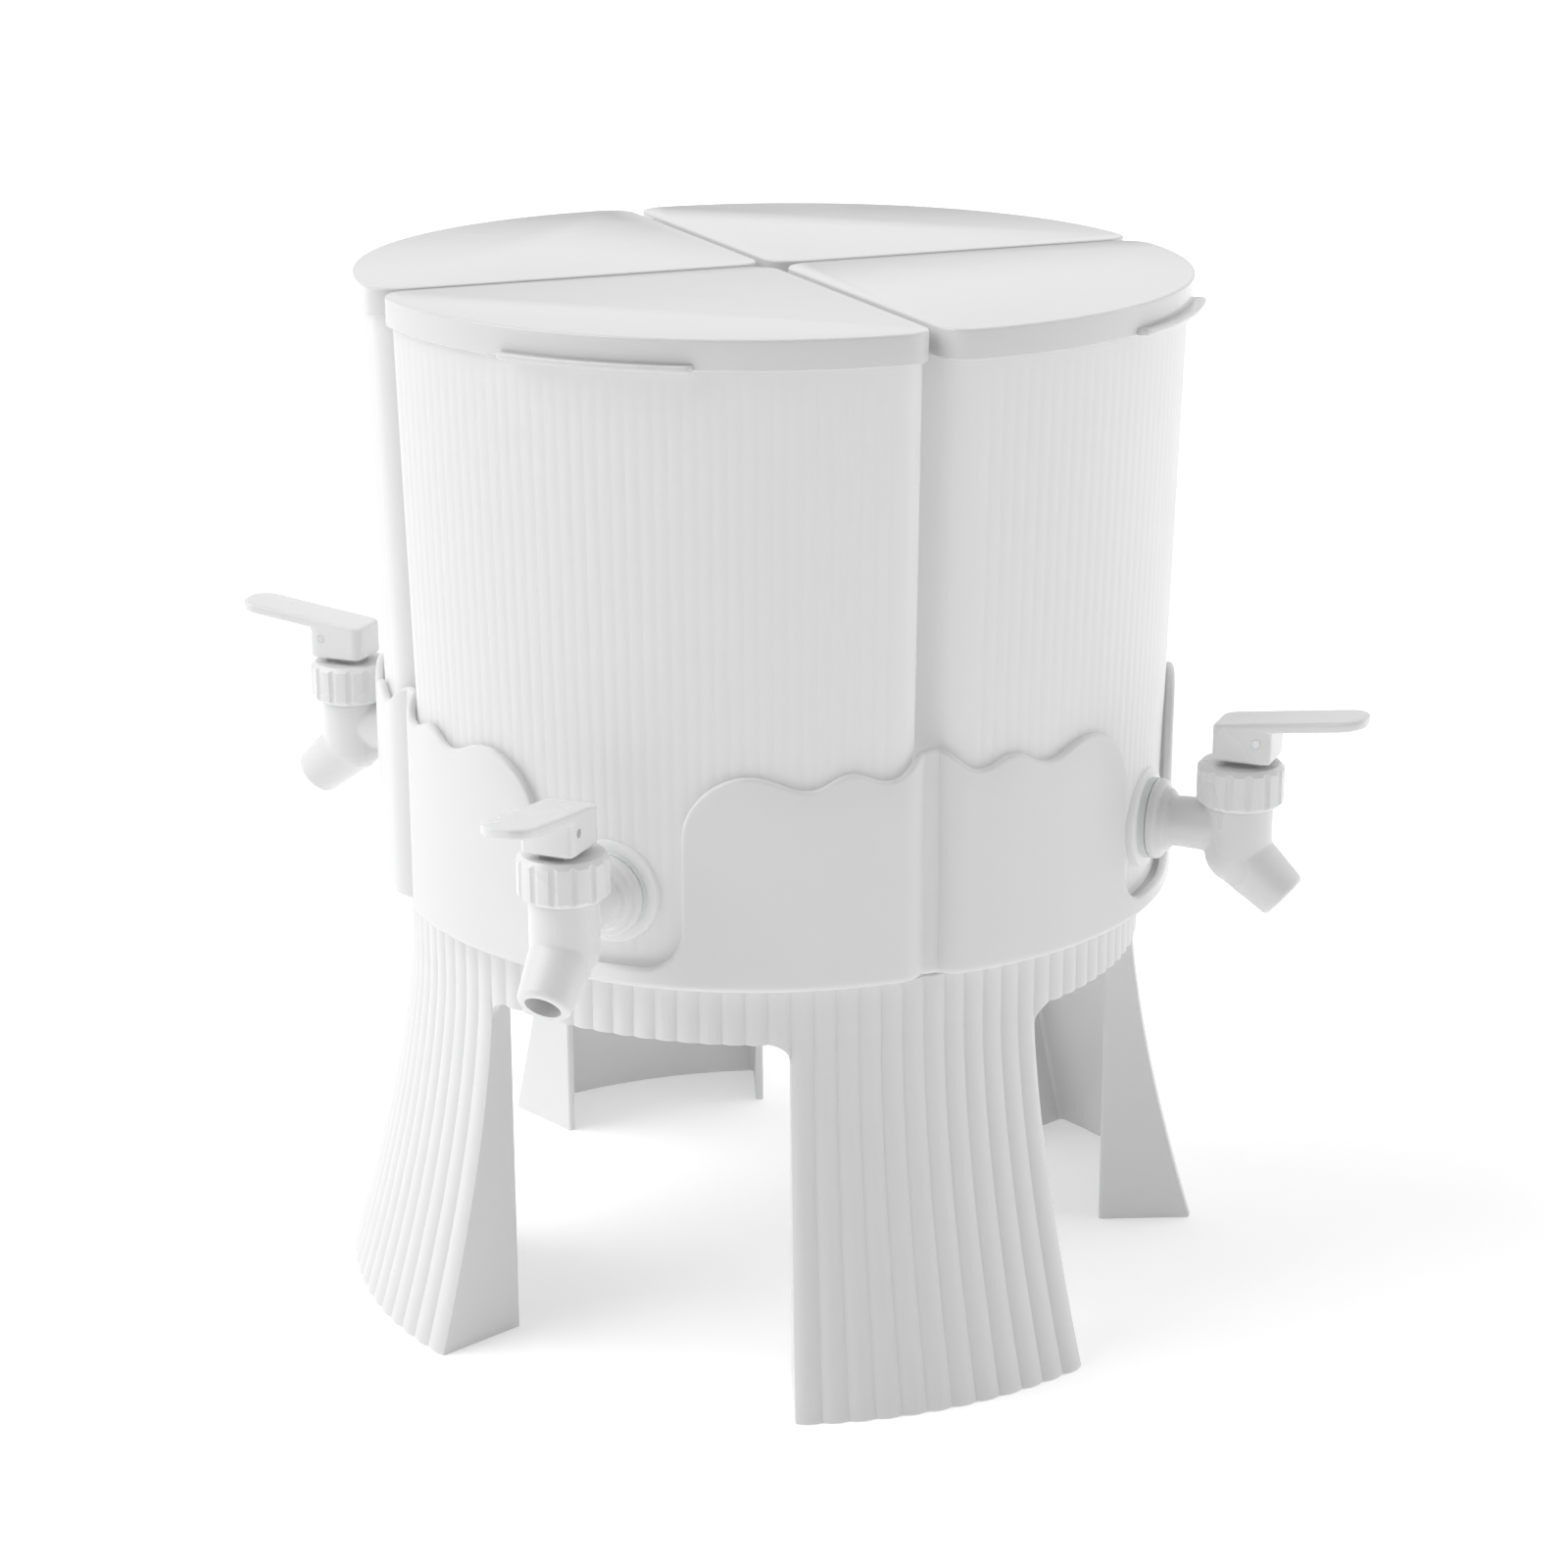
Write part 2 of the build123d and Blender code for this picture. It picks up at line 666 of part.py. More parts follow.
def single_parts():
    """Sub-parts of which the dispenser has one each."""
    return {
        "stand": make_stand(),
        "bearing_lower_race": make_lower_race(),
        "bearing_upper_race": make_upper_race(),
        "ball_cage": make_ball_cage(),
        "bearing_balls": make_balls(),
        "tray": make_tray(),
        "pivot_washer": make_pivot_washer(),
        "pivot_screw": make_pivot_screw(),
    }


def repeated_parts():
    """Sub-parts that each compartment has, made about +X."""
    return {
        "container": make_container(),
        "lid": make_lid(),
        "lid_gasket": make_lid_gasket(),
        "tap_body": make_tap_body(),
        "tap_washers": make_tap_washers(),
        "tap_nut": make_tap_nut(),
        "tap_bonnet": make_tap_bonnet(),
        "lever_pin": make_lever_pin(),
        "tap_lever": make_tap_lever(),
        "tap_plunger": make_tap_plunger(),
        "tap_seal": make_tap_seal(),
        "tap_spring": make_tap_spring(),
    }


os.makedirs("parts", exist_ok=True)
for name, shape in single_parts().items():
    export_step(shape, "parts/" + name + ".step")
for name, shape in repeated_parts().items():
    for side, angle in sides.items():
        export_step(Rot(0, 0, angle) * shape, "parts/" + name + "_" + side + ".step")
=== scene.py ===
"""Looks of a rotating drink dispenser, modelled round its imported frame.

The frame holds the mechanism. This file makes the moulded shells, their finishes, the floor, the
light and the camera. Sizes are in millimetres until a mesh is written, and a mesh is in metres.
"""

import logging
import math
from collections.abc import Callable, Sequence
from dataclasses import dataclass, field, replace
from enum import Enum

import bmesh
import bpy
from mathutils import Matrix, Vector


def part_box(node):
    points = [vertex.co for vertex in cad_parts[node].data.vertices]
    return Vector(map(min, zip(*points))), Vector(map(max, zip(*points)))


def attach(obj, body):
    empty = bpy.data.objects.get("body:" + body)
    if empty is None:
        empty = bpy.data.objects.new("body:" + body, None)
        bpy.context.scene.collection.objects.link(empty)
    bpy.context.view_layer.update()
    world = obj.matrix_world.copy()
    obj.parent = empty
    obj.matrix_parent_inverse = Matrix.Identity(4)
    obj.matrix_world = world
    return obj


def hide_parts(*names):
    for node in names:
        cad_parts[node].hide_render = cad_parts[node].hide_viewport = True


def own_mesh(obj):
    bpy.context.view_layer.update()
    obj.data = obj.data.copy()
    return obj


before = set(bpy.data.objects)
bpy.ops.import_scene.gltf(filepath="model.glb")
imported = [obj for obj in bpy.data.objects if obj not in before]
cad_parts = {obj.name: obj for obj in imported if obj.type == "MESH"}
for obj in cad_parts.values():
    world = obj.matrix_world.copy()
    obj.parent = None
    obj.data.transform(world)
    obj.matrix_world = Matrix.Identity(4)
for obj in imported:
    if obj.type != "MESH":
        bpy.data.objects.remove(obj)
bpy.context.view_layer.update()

MM = 0.001
QUARTER = 90.0
WHITE = (1.0, 1.0, 1.0, 1.0)
# Nearly all of a noise texture's values lie between these two
NOISE_LOW, NOISE_HIGH = 0.3, 0.7
log = logging.getLogger("dispenser")

Place = tuple[float, float, float]
Placing = Callable[[float, float, float], Place]
Value = float | int | bool | str | Sequence[float] | bpy.types.NodeSocket | bpy.types.Material


class Side(Enum):
    """The four compartments and the direction of each tap, in degrees about the pivot."""

    FRONT = -90.0
    RIGHT = 0.0
    REAR = 90.0
    LEFT = 180.0

    def named(self, kind: str) -> str:
        """Name of this side's piece of a kind."""
        return f"{kind}_{self.name.lower()}"


def linear(colour: str) -> tuple[float, float, float, float]:
    """Turn an sRGB hex colour into linear light.

    Args:
        colour: Six hex digits after a hash sign.

    Returns:
        Red, green, blue and an alpha of one.
    """
    parts = [int(colour[place:place + 2], 16) / 255 for place in (1, 3, 5)]
    light = [part / 12.92 if part <= 0.04045 else ((part + 0.055) / 1.055) ** 2.4
             for part in parts]
    return (light[0], light[1], light[2], 1.0)


def add(tree: bpy.types.NodeTree, kind: str, inputs: dict[int | str, Value] | None = None,
        **settings: Value) -> bpy.types.Node:
    """Add a node with its settings, its values and its links.

    Args:
        tree: Tree that gets the node.
        kind: Blender's name of the node type.
        inputs: Values, or sockets of other nodes, for the node's inputs.
        settings: Properties of the node.

    Returns:
        The new node.
    """
    node = tree.nodes.new(kind)
    for key, value in settings.items():
        setattr(node, key, value)
    for socket, value in (inputs or {}).items():
        if isinstance(value, bpy.types.NodeSocket):
            tree.links.new(value, node.inputs[socket])
        else:
            node.inputs[socket].default_value = value
    return node


def bare(owner: bpy.types.Material | bpy.types.World) -> bpy.types.NodeTree:
    """Give a material or a world an empty node tree.

    Args:
        owner: The material or world.

    Returns:
        Its tree.
    """
    owner.use_nodes = True
    owner.node_tree.nodes.clear()
    return owner.node_tree


def link(name: str, data: bpy.types.ID) -> bpy.types.Object:
    """Put an object in the scene.

    Args:
        name: Its name.
        data: Its mesh, light or camera.

    Returns:
        The object.
    """
    made = bpy.data.objects.new(name, data)
    bpy.context.scene.collection.objects.link(made)
    return made


@dataclass(frozen=True)
class Plastic:
    """A moulded plastic or rubber: tone, gloss, tool texture and how deep light goes in."""

    title: str
    slot: str
    colour: str
    roughness: float
    grain_mm: float
    grain_height_mm: float
    gloss_change: float = 0.05
    tone_change: float = 0.02
    ior: float = 1.49
    subsurface: float = 0.0
    depth_mm: float = 1.0
    transmission: float = 0.0
    coat: float = 0.0
    coat_roughness: float = 0.08
    glow: float = 0.0
    cloud_mm: float = 45.0

    def material(self) -> bpy.types.Material:
        """Make the node material.

        Returns:
            Material with cloudy tone and gloss, and the fine texture of the mould as bump.
        """
        made = bpy.data.materials.new(self.title)
        tree = bare(made)
        place = add(tree, "ShaderNodeTexCoord").outputs["Object"]
        cloud = add(tree, "ShaderNodeTexNoise", {
            "Vector": place, "Scale": 1 / (self.cloud_mm * MM), "Detail": 3.0}).outputs["Fac"]
        base = linear(self.colour)
        darker = tuple(part * (1 - self.tone_change) for part in base[:3]) + (1.0,)
        tone = add(tree, "ShaderNodeMix", {0: cloud, 6: darker, 7: base}, data_type="RGBA")
        gloss = add(tree, "ShaderNodeMapRange", {
            "Value": cloud, "From Min": NOISE_LOW, "From Max": NOISE_HIGH,
            "To Min": self.roughness - self.gloss_change,
            "To Max": self.roughness + self.gloss_change})
        grain = add(tree, "ShaderNodeTexNoise", {
            "Vector": place, "Scale": 1 / (self.grain_mm * MM), "Detail": 2.0})
        bump = add(tree, "ShaderNodeBump", {
            "Height": grain.outputs["Fac"], "Distance": self.grain_height_mm * MM,
            "Strength": 1.0})
        shader = add(tree, "ShaderNodeBsdfPrincipled", {
            "Base Color": tone.outputs[2], "Roughness": gloss.outputs["Result"],
            "Normal": bump.outputs["Normal"], "IOR": self.ior,
            "Subsurface Weight": self.subsurface, "Subsurface Radius": WHITE[:3],
            "Subsurface Scale": self.depth_mm * MM, "Transmission Weight": self.transmission,
            "Coat Weight": self.coat, "Coat Roughness": self.coat_roughness,
            # The glow is painted light: a white emission that stands in for light the walls pass on
            "Emission Color": WHITE, "Emission Strength": self.glow})
        add(tree, "ShaderNodeOutputMaterial", {"Surface": shader.outputs["BSDF"]})
        return made


@dataclass(frozen=True)
class Steel:
    """A stainless steel part: grey metal with the fine lines of its drawing or turning."""

    title: str
    slot: str
    colour: str
    roughness: float
    line_mm: float
    stretch: float = 0.15
    gloss_share: float = 0.3

    def material(self) -> bpy.types.Material:
        """Make the node material.

        Returns:
            Metal whose gloss varies in fine lines across its height.
        """
        made = bpy.data.materials.new(self.title)
        tree = bare(made)
        place = add(tree, "ShaderNodeTexCoord").outputs["Object"]
        drawn = add(tree, "ShaderNodeMapping", {
            "Vector": place, "Scale": (self.stretch, self.stretch, 1.0)})
        lines = add(tree, "ShaderNodeTexNoise", {
            "Vector": drawn.outputs["Vector"], "Scale": 1 / (self.line_mm * MM), "Detail": 2.0})
        gloss = add(tree, "ShaderNodeMapRange", {
            "Value": lines.outputs["Fac"], "To Min": self.roughness * (1 - self.gloss_share),
            "To Max": self.roughness * (1 + self.gloss_share)})
        shader = add(tree, "ShaderNodeBsdfPrincipled", {
            "Base Color": linear(self.colour), "Metallic": 1.0,
            "Roughness": gloss.outputs["Result"]})
        add(tree, "ShaderNodeOutputMaterial", {"Surface": shader.outputs["BSDF"]})
        return made


class Finish(Enum):
    """The real material of each kind of piece."""

    # Polypropylene from a finely eroded mould: white, satin, with soft edges to its reflections
    STAND = Plastic("polypropylene_satin_moulded", "stand_plastic", "#E4E4E4", 0.36, 0.5, 0.012,
                    subsurface=0.15, depth_mm=2.0)
    # Polypropylene from a polished mould: white and glossy, so the rim shows the room's dark side
    LID = Plastic("polypropylene_polished_moulded", "lid_plastic", "#DBDBDB", 0.16, 0.8, 0.004,
                  gloss_change=0.03, coat=0.35, subsurface=0.1, depth_mm=2.0)
    # Frosted polypropylene: milky, and its thin walls pass the light on inside, more often than the
    # render follows it;
    # its faint glow is painted light that makes up for that, and its colour is set darker to
    # balance the glow
    CONTAINER = Plastic("polypropylene_frosted", "frosted_plastic", "#C7C7C7", 0.42, 0.35, 0.01,
                        subsurface=0.6, depth_mm=4.0, transmission=0.05, glow=0.22)
    # ABS: harder and glossier than the stand, with a smooth moulded skin
    TAP = Plastic("abs_moulded", "tap_plastic", "#E6E6E6", 0.28, 0.6, 0.006, gloss_change=0.04,
                  subsurface=0.1, depth_mm=1.5)
    # Acetal: a dense, slightly creamy white that slides well
    RACE = Plastic("acetal_machined", "race_plastic", "#ECECE6", 0.3, 0.4, 0.006)
    # Silicone rubber: cloudy and matt
    SEAL = Plastic("silicone_rubber", "silicone", "#E2E4E4", 0.55, 0.3, 0.01, ior=1.41,
                   subsurface=0.5, depth_mm=2.5)
    # Stainless steel, drawn or turned: grey, with fine lines that break up its gloss
    STEEL = Steel("stainless_steel_turned", "steel", "#C6C7CA", 0.24, 0.25)

    def material(self) -> bpy.types.Material:
        """The finish's material, made at its first use."""
        return bpy.data.materials.get(self.value.title) or self.value.material()


@dataclass(frozen=True)
class Station:
    """A point of a plan outline, its outward direction, and its place along the flutes."""

    x: float
    y: float
    nx: float
    ny: float
    along: float = 0.0
    fluted: float = 0.0

    def moved(self, inset: float, height: float) -> Place:
        """Place at a height, set in from the outline."""
        return (self.x - inset * self.nx, self.y - inset * self.ny, height)


def arc(centre: tuple[float, float], radius: float, first: float, last: float, steps: int,
        ends: bool = True) -> list[Station]:
    """Stations on an arc.

    Args:
        centre: Centre of the arc.
        radius: Its radius.
        first: Angle of its start in degrees.
        last: Angle of its end in degrees.
        steps: How many steps the arc is cut in.
        ends: Whether the two end points are given as well.

    Returns:
        The stations from first to last.
    """
    stations = []
    for index in range(0 if ends else 1, steps + (1 if ends else 0)):
        angle = math.radians(first + (last - first) * index / steps)
        out = (math.cos(angle), math.sin(angle))
        stations.append(Station(centre[0] + radius * out[0], centre[1] + radius * out[1], *out,
                                along=index / steps, fluted=0.0 if ends else 1.0))
    return stations


def rounding(radius: float, steps: int = 5) -> list[tuple[float, float]]:
    """Points of a rounded edge, as distances from the two faces that it joins.

    Args:
        radius: Radius of the edge.
        steps: How many steps it is cut in.

    Returns:
        Pairs that go from nothing and the radius to the radius and nothing.
    """
    turns = [math.radians(QUARTER / steps * index) for index in range(steps + 1)]
    return [(radius * (1 - math.cos(turn)), radius * (1 - math.sin(turn))) for turn in turns]


@dataclass(frozen=True)
class Quarter:
    """Plan of a quarter piece about +X: a lobe outside and two flat sides by the diagonals."""

    reach: float
    side_gap: float
    corner: float
    centre_corner: float
    lobe_offset: float = 12.0
    least_corner: float = 0.4
    lobe_steps: int = 96
    corner_steps: int = 10
    side_steps: int = 8

    def inset(self, depth: float) -> "Quarter":
        """The same plan set in by a depth on all sides."""
        return replace(self, reach=self.reach - depth, side_gap=self.side_gap + depth,
                       corner=max(self.corner - depth, self.least_corner),
                       centre_corner=max(self.centre_corner - depth, self.least_corner))

    def corner_centre(self) -> tuple[float, float]:
        """Find the rounded corner beside +Y.

        Returns:
            Its centre.
        """
        rise = (self.side_gap + self.corner) * math.sqrt(2)
        total = self.lobe_offset + rise
        far = self.reach - self.lobe_offset - self.corner
        rest = self.lobe_offset ** 2 + rise ** 2 - far ** 2
        across = (total + math.sqrt(total ** 2 - 2 * rest)) / 2
        return across, across - rise

    def lobe_turn(self) -> float:
        """Half of the lobe's arc in degrees, seen from the lobe's centre."""
        across, rise = self.corner_centre()
        return math.degrees(math.atan2(rise, across - self.lobe_offset))

    def lobe_length(self) -> float:
        """Length of the lobe's arc."""
        return 2 * math.radians(self.lobe_turn()) * (self.reach - self.lobe_offset)

    def outline(self) -> list[Station]:
        """Closed outline, counter-clockwise from the corner at the pivot.

        Returns:
            As many stations for any sizes, so that outlines can be joined ring by ring.
        """
        across, rise = self.corner_centre()
        turn = self.lobe_turn()
        centre = (self.side_gap + self.centre_corner) * math.sqrt(2)
        near = arc((centre, 0), self.centre_corner, 135, 225, self.corner_steps)
        low = arc((across, -rise), self.corner, 225, 360 - turn, self.corner_steps)
        lobe = arc((self.lobe_offset, 0), self.reach - self.lobe_offset, -turn, turn,
                   self.lobe_steps, ends=False)
        high = arc((across, rise), self.corner, turn, 135, self.corner_steps)
        return near + self.side(near[-1], low[0]) + low + lobe + high + self.side(high[-1], near[0])

    def side(self, start: Station, end: Station) -> list[Station]:
        """Stations between the ends of a flat side."""
        shares = [index / self.side_steps for index in range(1, self.side_steps)]
        return [replace(start, x=start.x + (end.x - start.x) * share,
                        y=start.y + (end.y - start.y) * share, along=0.0) for share in shares]


@dataclass
class Shell:
    """Rings of points that become one or more closed skins, with the data that flutes follow."""

    places: list[Place] = field(default_factory=list)
    faces: list[tuple[int, ...]] = field(default_factory=list)
    along: list[float] = field(default_factory=list)
    amount: list[float] = field(default_factory=list)
    out: list[Place] = field(default_factory=list)

    def point(self, place: Place, along: float = 0.0, amount: float = 0.0,
              out: Place = (0.0, 0.0, 0.0)) -> int:
        """Add a point.

        Args:
            place: Where it is.
            along: Its place along the flutes.
            amount: How far the flutes are raised there, from 0 to 1.
            out: Direction that they rise in.

        Returns:
            Its number.
        """
        self.places.append(place)
        self.along.append(along)
        self.amount.append(amount)
        self.out.append(out)
        return len(self.places) - 1

    def ring(self, places: Sequence[Place]) -> list[int]:
        """Add a ring of plain points and return their numbers."""
        return [self.point(place) for place in places]

    def fluted_ring(self, stations: Sequence[Station], height: float, amount: float,
                    inset: float = 0.0) -> list[int]:
        """Add a ring whose points move out along the flutes.

        Args:
            stations: Outline of the ring.
            height: Its height.
            amount: How far the flutes are raised here, from 0 to 1.
            inset: How far the ring is set in from the outline.

        Returns:
            The numbers of its points.
        """
        return [self.point(station.moved(inset, height), station.along, station.fluted * amount,
                           (station.nx, station.ny, 0.0)) for station in stations]

    def bridge(self, rings: Sequence[Sequence[int]], looped: bool = False) -> None:
        """Join neighbouring rings with four-sided faces.

        Args:
            rings: Rings with as many points each.
            looped: Whether the last one is joined to the first as well.
        """
        pairs = list(zip(rings, rings[1:]))
        if looped:
            pairs.append((rings[-1], rings[0]))
        for low, high in pairs:
            for index in range(len(low)):
                after = (index + 1) % len(low)
                self.faces.append((low[index], low[after], high[after], high[index]))

    def closed(self, rings: Sequence[Sequence[int]]) -> None:
        """Join rings and close the first and the last."""
        self.bridge(rings)
        self.faces += [tuple(rings[0]), tuple(rings[-1])]

    def lathe(self, profile: Sequence[tuple[float, float]], place: Placing, steps: int = 64,
              looped: bool = False) -> None:
        """Turn a profile about an axis.

        Args:
            profile: Pairs of radius and distance along the axis.
            place: Gives the point for a radius, an angle in radians and a distance along the axis.
            steps: Points round the axis.
            looped: Whether the profile closes on itself, as on a ring.
        """
        turns = [2 * math.pi * index / steps for index in range(steps)]
        rings = [self.ring([place(radius, turn, along) for turn in turns])
                 for radius, along in profile]
        if looped:
            self.bridge(rings, looped)
        else:
            self.closed(rings)

    def piece(self, name: str) -> bpy.types.Object:
        """Write the skins as an object at the origin.

        Args:
            name: Name of the object.

        Returns:
            The object, with doubles merged and its faces pointing outwards.
        """
        mesh = bpy.data.meshes.new(name)
        mesh.from_pydata([Vector(place) * MM for place in self.places], [], self.faces)
        for title, values in (("along", self.along), ("amount", self.amount)):
            mesh.attributes.new(title, "FLOAT", "POINT").data.foreach_set("value", values)
        flat = [number for place in self.out for number in place]
        mesh.attributes.new("out", "FLOAT_VECTOR", "POINT").data.foreach_set("vector", flat)
        edit = bmesh.new()
        edit.from_mesh(mesh)
        bmesh.ops.remove_doubles(edit, verts=edit.verts, dist=0.001 * MM)
        bmesh.ops.recalc_face_normals(edit, faces=edit.faces)
        edit.to_mesh(mesh)
        edit.free()
        return link(name, mesh)


def settle(piece: bpy.types.Object) -> None:
    """Turn a piece's modifiers into plain mesh.

    Args:
        piece: Object that keeps the result as its mesh.
    """
    graph = bpy.context.evaluated_depsgraph_get()
    mesh = bpy.data.meshes.new_from_object(piece.evaluated_get(graph))
    piece.modifiers.clear()
    piece.data = mesh


def carve(piece: bpy.types.Object, tool: bpy.types.Object, operation: str) -> None:
    """Join a tool to a piece, or cut it out, and remove the tool.

    Args:
        piece: Object that is worked on.
        tool: Object with a closed skin.
        operation: UNION or DIFFERENCE.
    """
    modifier = piece.modifiers.new("carve", "BOOLEAN")
    modifier.operation = operation
    modifier.object = tool
    modifier.solver = "EXACT"
    settle(piece)
    bpy.data.objects.remove(tool)


def bar(radius: float, low: float, high: float, place: Placing,
        steps: int = 64) -> bpy.types.Object:
    """Make a round bar, as a tool.

    Args:
        radius: Its radius.
        low: Distance along the axis where it starts.
        high: Distance where it ends.
        place: Placing of points about the axis.
        steps: Points round the axis.

    Returns:
        The bar.
    """
    shell = Shell()
    shell.lathe([(radius, low), (radius, high)], place, steps)
    return shell.piece("bar")


def fuse(piece: bpy.types.Object, grid_mm: float, softness: int) -> None:
    """Fuse overlapping skins into one, as a mould makes them, with soft edges.

    Args:
        piece: Object whose skins overlap.
        grid_mm: Size of the grid that finds the outer skin.
        softness: How often the skin is smoothed.
    """
    remesh = piece.modifiers.new("fuse", "REMESH")
    remesh.mode = "VOXEL"
    remesh.voxel_size = grid_mm * MM
    soften = piece.modifiers.new("soften", "SMOOTH")
    soften.factor = 0.5
    soften.iterations = softness
    settle(piece)


def shade(piece: bpy.types.Object, sharp_degrees: float = 38.0) -> None:
    """Shade a piece smoothly.

    Args:
        piece: Object that is shaded.
        sharp_degrees: Turn between two faces from which their edge stays sharp.
    """
    mesh = piece.data
    mesh.polygons.foreach_set("use_smooth", [True] * len(mesh.polygons))
    mesh.set_sharp_from_angle(angle=math.radians(sharp_degrees))


def open_tree(title: str, sizes: dict[str, str]) -> tuple[bpy.types.NodeTree, bpy.types.Node]:
    """Start a Geometry Nodes tree that is given a geometry, sizes and a material.

    Args:
        title: Name of the tree.
        sizes: Kind of socket for the name of each size.

    Returns:
        The tree and the node that gives its inputs.
    """
    tree = bpy.data.node_groups.new(title, "GeometryNodeTree")
    for name, kind in {"Geometry": "Geometry", **sizes, "Material": "Material"}.items():
        tree.interface.new_socket(name, in_out="INPUT", socket_type="NodeSocket" + kind)
    tree.interface.new_socket("Geometry", in_out="OUTPUT", socket_type="NodeSocketGeometry")
    return tree, add(tree, "NodeGroupInput")


def close_tree(tree: bpy.types.NodeTree, given: bpy.types.Node, made: bpy.types.Node) -> None:
    """End a tree with plain mesh in the material that it is given.

    Args:
        tree: The tree.
        given: Node that gives its inputs.
        made: Node that makes its geometry.
    """
    real = add(tree, "GeometryNodeRealizeInstances", {"Geometry": made.outputs[0]})
    dressed = add(tree, "GeometryNodeSetMaterial", {
        "Geometry": real.outputs[0], "Material": given.outputs["Material"]})
    add(tree, "NodeGroupOutput", {"Geometry": dressed.outputs[0]})


def flute_tree() -> bpy.types.NodeTree:
    """Geometry Nodes that raise rounded flutes on a skin.

    Returns:
        Tree with the flutes' pitch and height as inputs. It reads each point's place along the
        flutes, its outward direction and how far it takes part.
    """
    tree, given = open_tree("rounded_flutes", {"Pitch": "Float", "Height": "Float"})
    along, amount, out = (
        add(tree, "GeometryNodeInputNamedAttribute", {"Name": title}, data_type=kind).outputs[0]
        for title, kind in (("along", "FLOAT"), ("amount", "FLOAT"), ("out", "FLOAT_VECTOR")))
    phase = add(tree, "ShaderNodeMath", {0: along, 1: given.outputs["Pitch"]}, operation="DIVIDE")
    share = add(tree, "ShaderNodeMath", {0: phase.outputs[0]}, operation="FRACT").outputs[0]
    rise = add(tree, "ShaderNodeMath", {0: 1.0, 1: share}, operation="SUBTRACT")
    # Four times the share and its rest is one in the middle of a flute and nothing at its sides
    for factor in (share, 4.0, amount, given.outputs["Height"]):
        rise = add(tree, "ShaderNodeMath", {0: rise.outputs[0], 1: factor}, operation="MULTIPLY")
    offset = add(tree, "ShaderNodeVectorMath", {0: out, "Scale": rise.outputs[0]},
                 operation="SCALE")
    moved = add(tree, "GeometryNodeSetPosition", {
        "Geometry": given.outputs["Geometry"], "Offset": offset.outputs[0]})
    close_tree(tree, given, moved)
    return tree


def ball_tree() -> bpy.types.NodeTree:
    """Geometry Nodes that set balls evenly on a circle.

    Returns:
        Tree with the count, the circle's radius and height, and the balls' radius as inputs.
    """
    tree, given = open_tree("ring_of_balls", {
        "Count": "Int", "Circle Radius": "Float", "Circle Height": "Float",
        "Ball Radius": "Float"})
    circle = add(tree, "GeometryNodeMeshCircle", {
        "Vertices": given.outputs["Count"], "Radius": given.outputs["Circle Radius"]})
    lift = add(tree, "ShaderNodeCombineXYZ", {"Z": given.outputs["Circle Height"]})
    raised = add(tree, "GeometryNodeSetPosition", {
        "Geometry": circle.outputs[0], "Offset": lift.outputs[0]})
    ball = add(tree, "GeometryNodeMeshUVSphere", {
        "Segments": 24, "Rings": 14, "Radius": given.outputs["Ball Radius"]})
    placed = add(tree, "GeometryNodeInstanceOnPoints", {
        "Points": raised.outputs[0], "Instance": ball.outputs[0]})
    close_tree(tree, given, placed)
    return tree


def spring_tree() -> bpy.types.NodeTree:
    """Geometry Nodes that wind a wire into an upright coil.

    Returns:
        Tree with the turns, the coil's radius, height and foot, and the wire's radius as inputs.
    """
    tree, given = open_tree("wound_coil", {
        "Turns": "Float", "Coil Radius": "Float", "Coil Height": "Float", "Wire Radius": "Float",
        "Foot": "Vector"})
    coil = add(tree, "GeometryNodeCurveSpiral", {
        "Resolution": 28, "Rotations": given.outputs["Turns"],
        "Start Radius": given.outputs["Coil Radius"], "End Radius": given.outputs["Coil Radius"],
        "Height": given.outputs["Coil Height"]})
    section = add(tree, "GeometryNodeCurvePrimitiveCircle", {
        "Resolution": 12, "Radius": given.outputs["Wire Radius"]})
    wire = add(tree, "GeometryNodeCurveToMesh", {
        "Curve": coil.outputs[0], "Profile Curve": section.outputs[0], "Fill Caps": True})
    placed = add(tree, "GeometryNodeTransform", {
        "Geometry": wire.outputs[0], "Translation": given.outputs["Foot"]})
    close_tree(tree, given, placed)
    return tree


def grow(piece: bpy.types.Object, tree: bpy.types.NodeTree, inputs: dict[str, Value]) -> None:
    """Run a Geometry Nodes tree on a piece and keep its result as plain mesh.

    Args:
        piece: Object that the tree works on.
        tree: The tree.
        inputs: Values of its named inputs.
    """
    modifier = piece.modifiers.new(tree.name, "NODES")
    modifier.node_group = tree
    sockets = {item.name: item.identifier for item in tree.interface.items_tree
               if item.in_out == "INPUT"}
    for title, value in inputs.items():
        modifier[sockets[title]] = value
    settle(piece)


def dress(piece: bpy.types.Object, finish: Finish, body: str, *nodes: str) -> bpy.types.Object:
    """Give a finished piece its material, its body and the nodes that it stands for.

    Args:
        piece: The finished object.
        finish: Its material.
        body: Body that it moves with.
        nodes: Nodes of the frame that it replaces.

    Returns:
        The same object.
    """
    piece.data.materials.clear()
    piece.data.materials.append(finish.material())
    for polygon in piece.data.polygons:
        polygon.material_index = 0
    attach(piece, body)
    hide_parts(*nodes)
    return piece


def on_sides(pattern: bpy.types.Object, kind: str, finish: Finish, body: str,
             node: str) -> list[bpy.types.Object]:
    """Dress a turned copy of a pattern on each side, and remove the pattern.

    Args:
        pattern: Piece that was made about +X.
        kind: What its copies are called.
        finish: Their material.
        body: Kind of body that each moves with.
        node: Kind of node that each replaces.

    Returns:
        The four copies.
    """
    copies = []
    for side in Side:
        mesh = pattern.data.copy()
        mesh.transform(Matrix.Rotation(math.radians(side.value), 4, "Z"))
        copies.append(dress(link(side.named(kind), mesh), finish, side.named(body),
                            side.named(node)))
    bpy.data.objects.remove(pattern)
    return copies


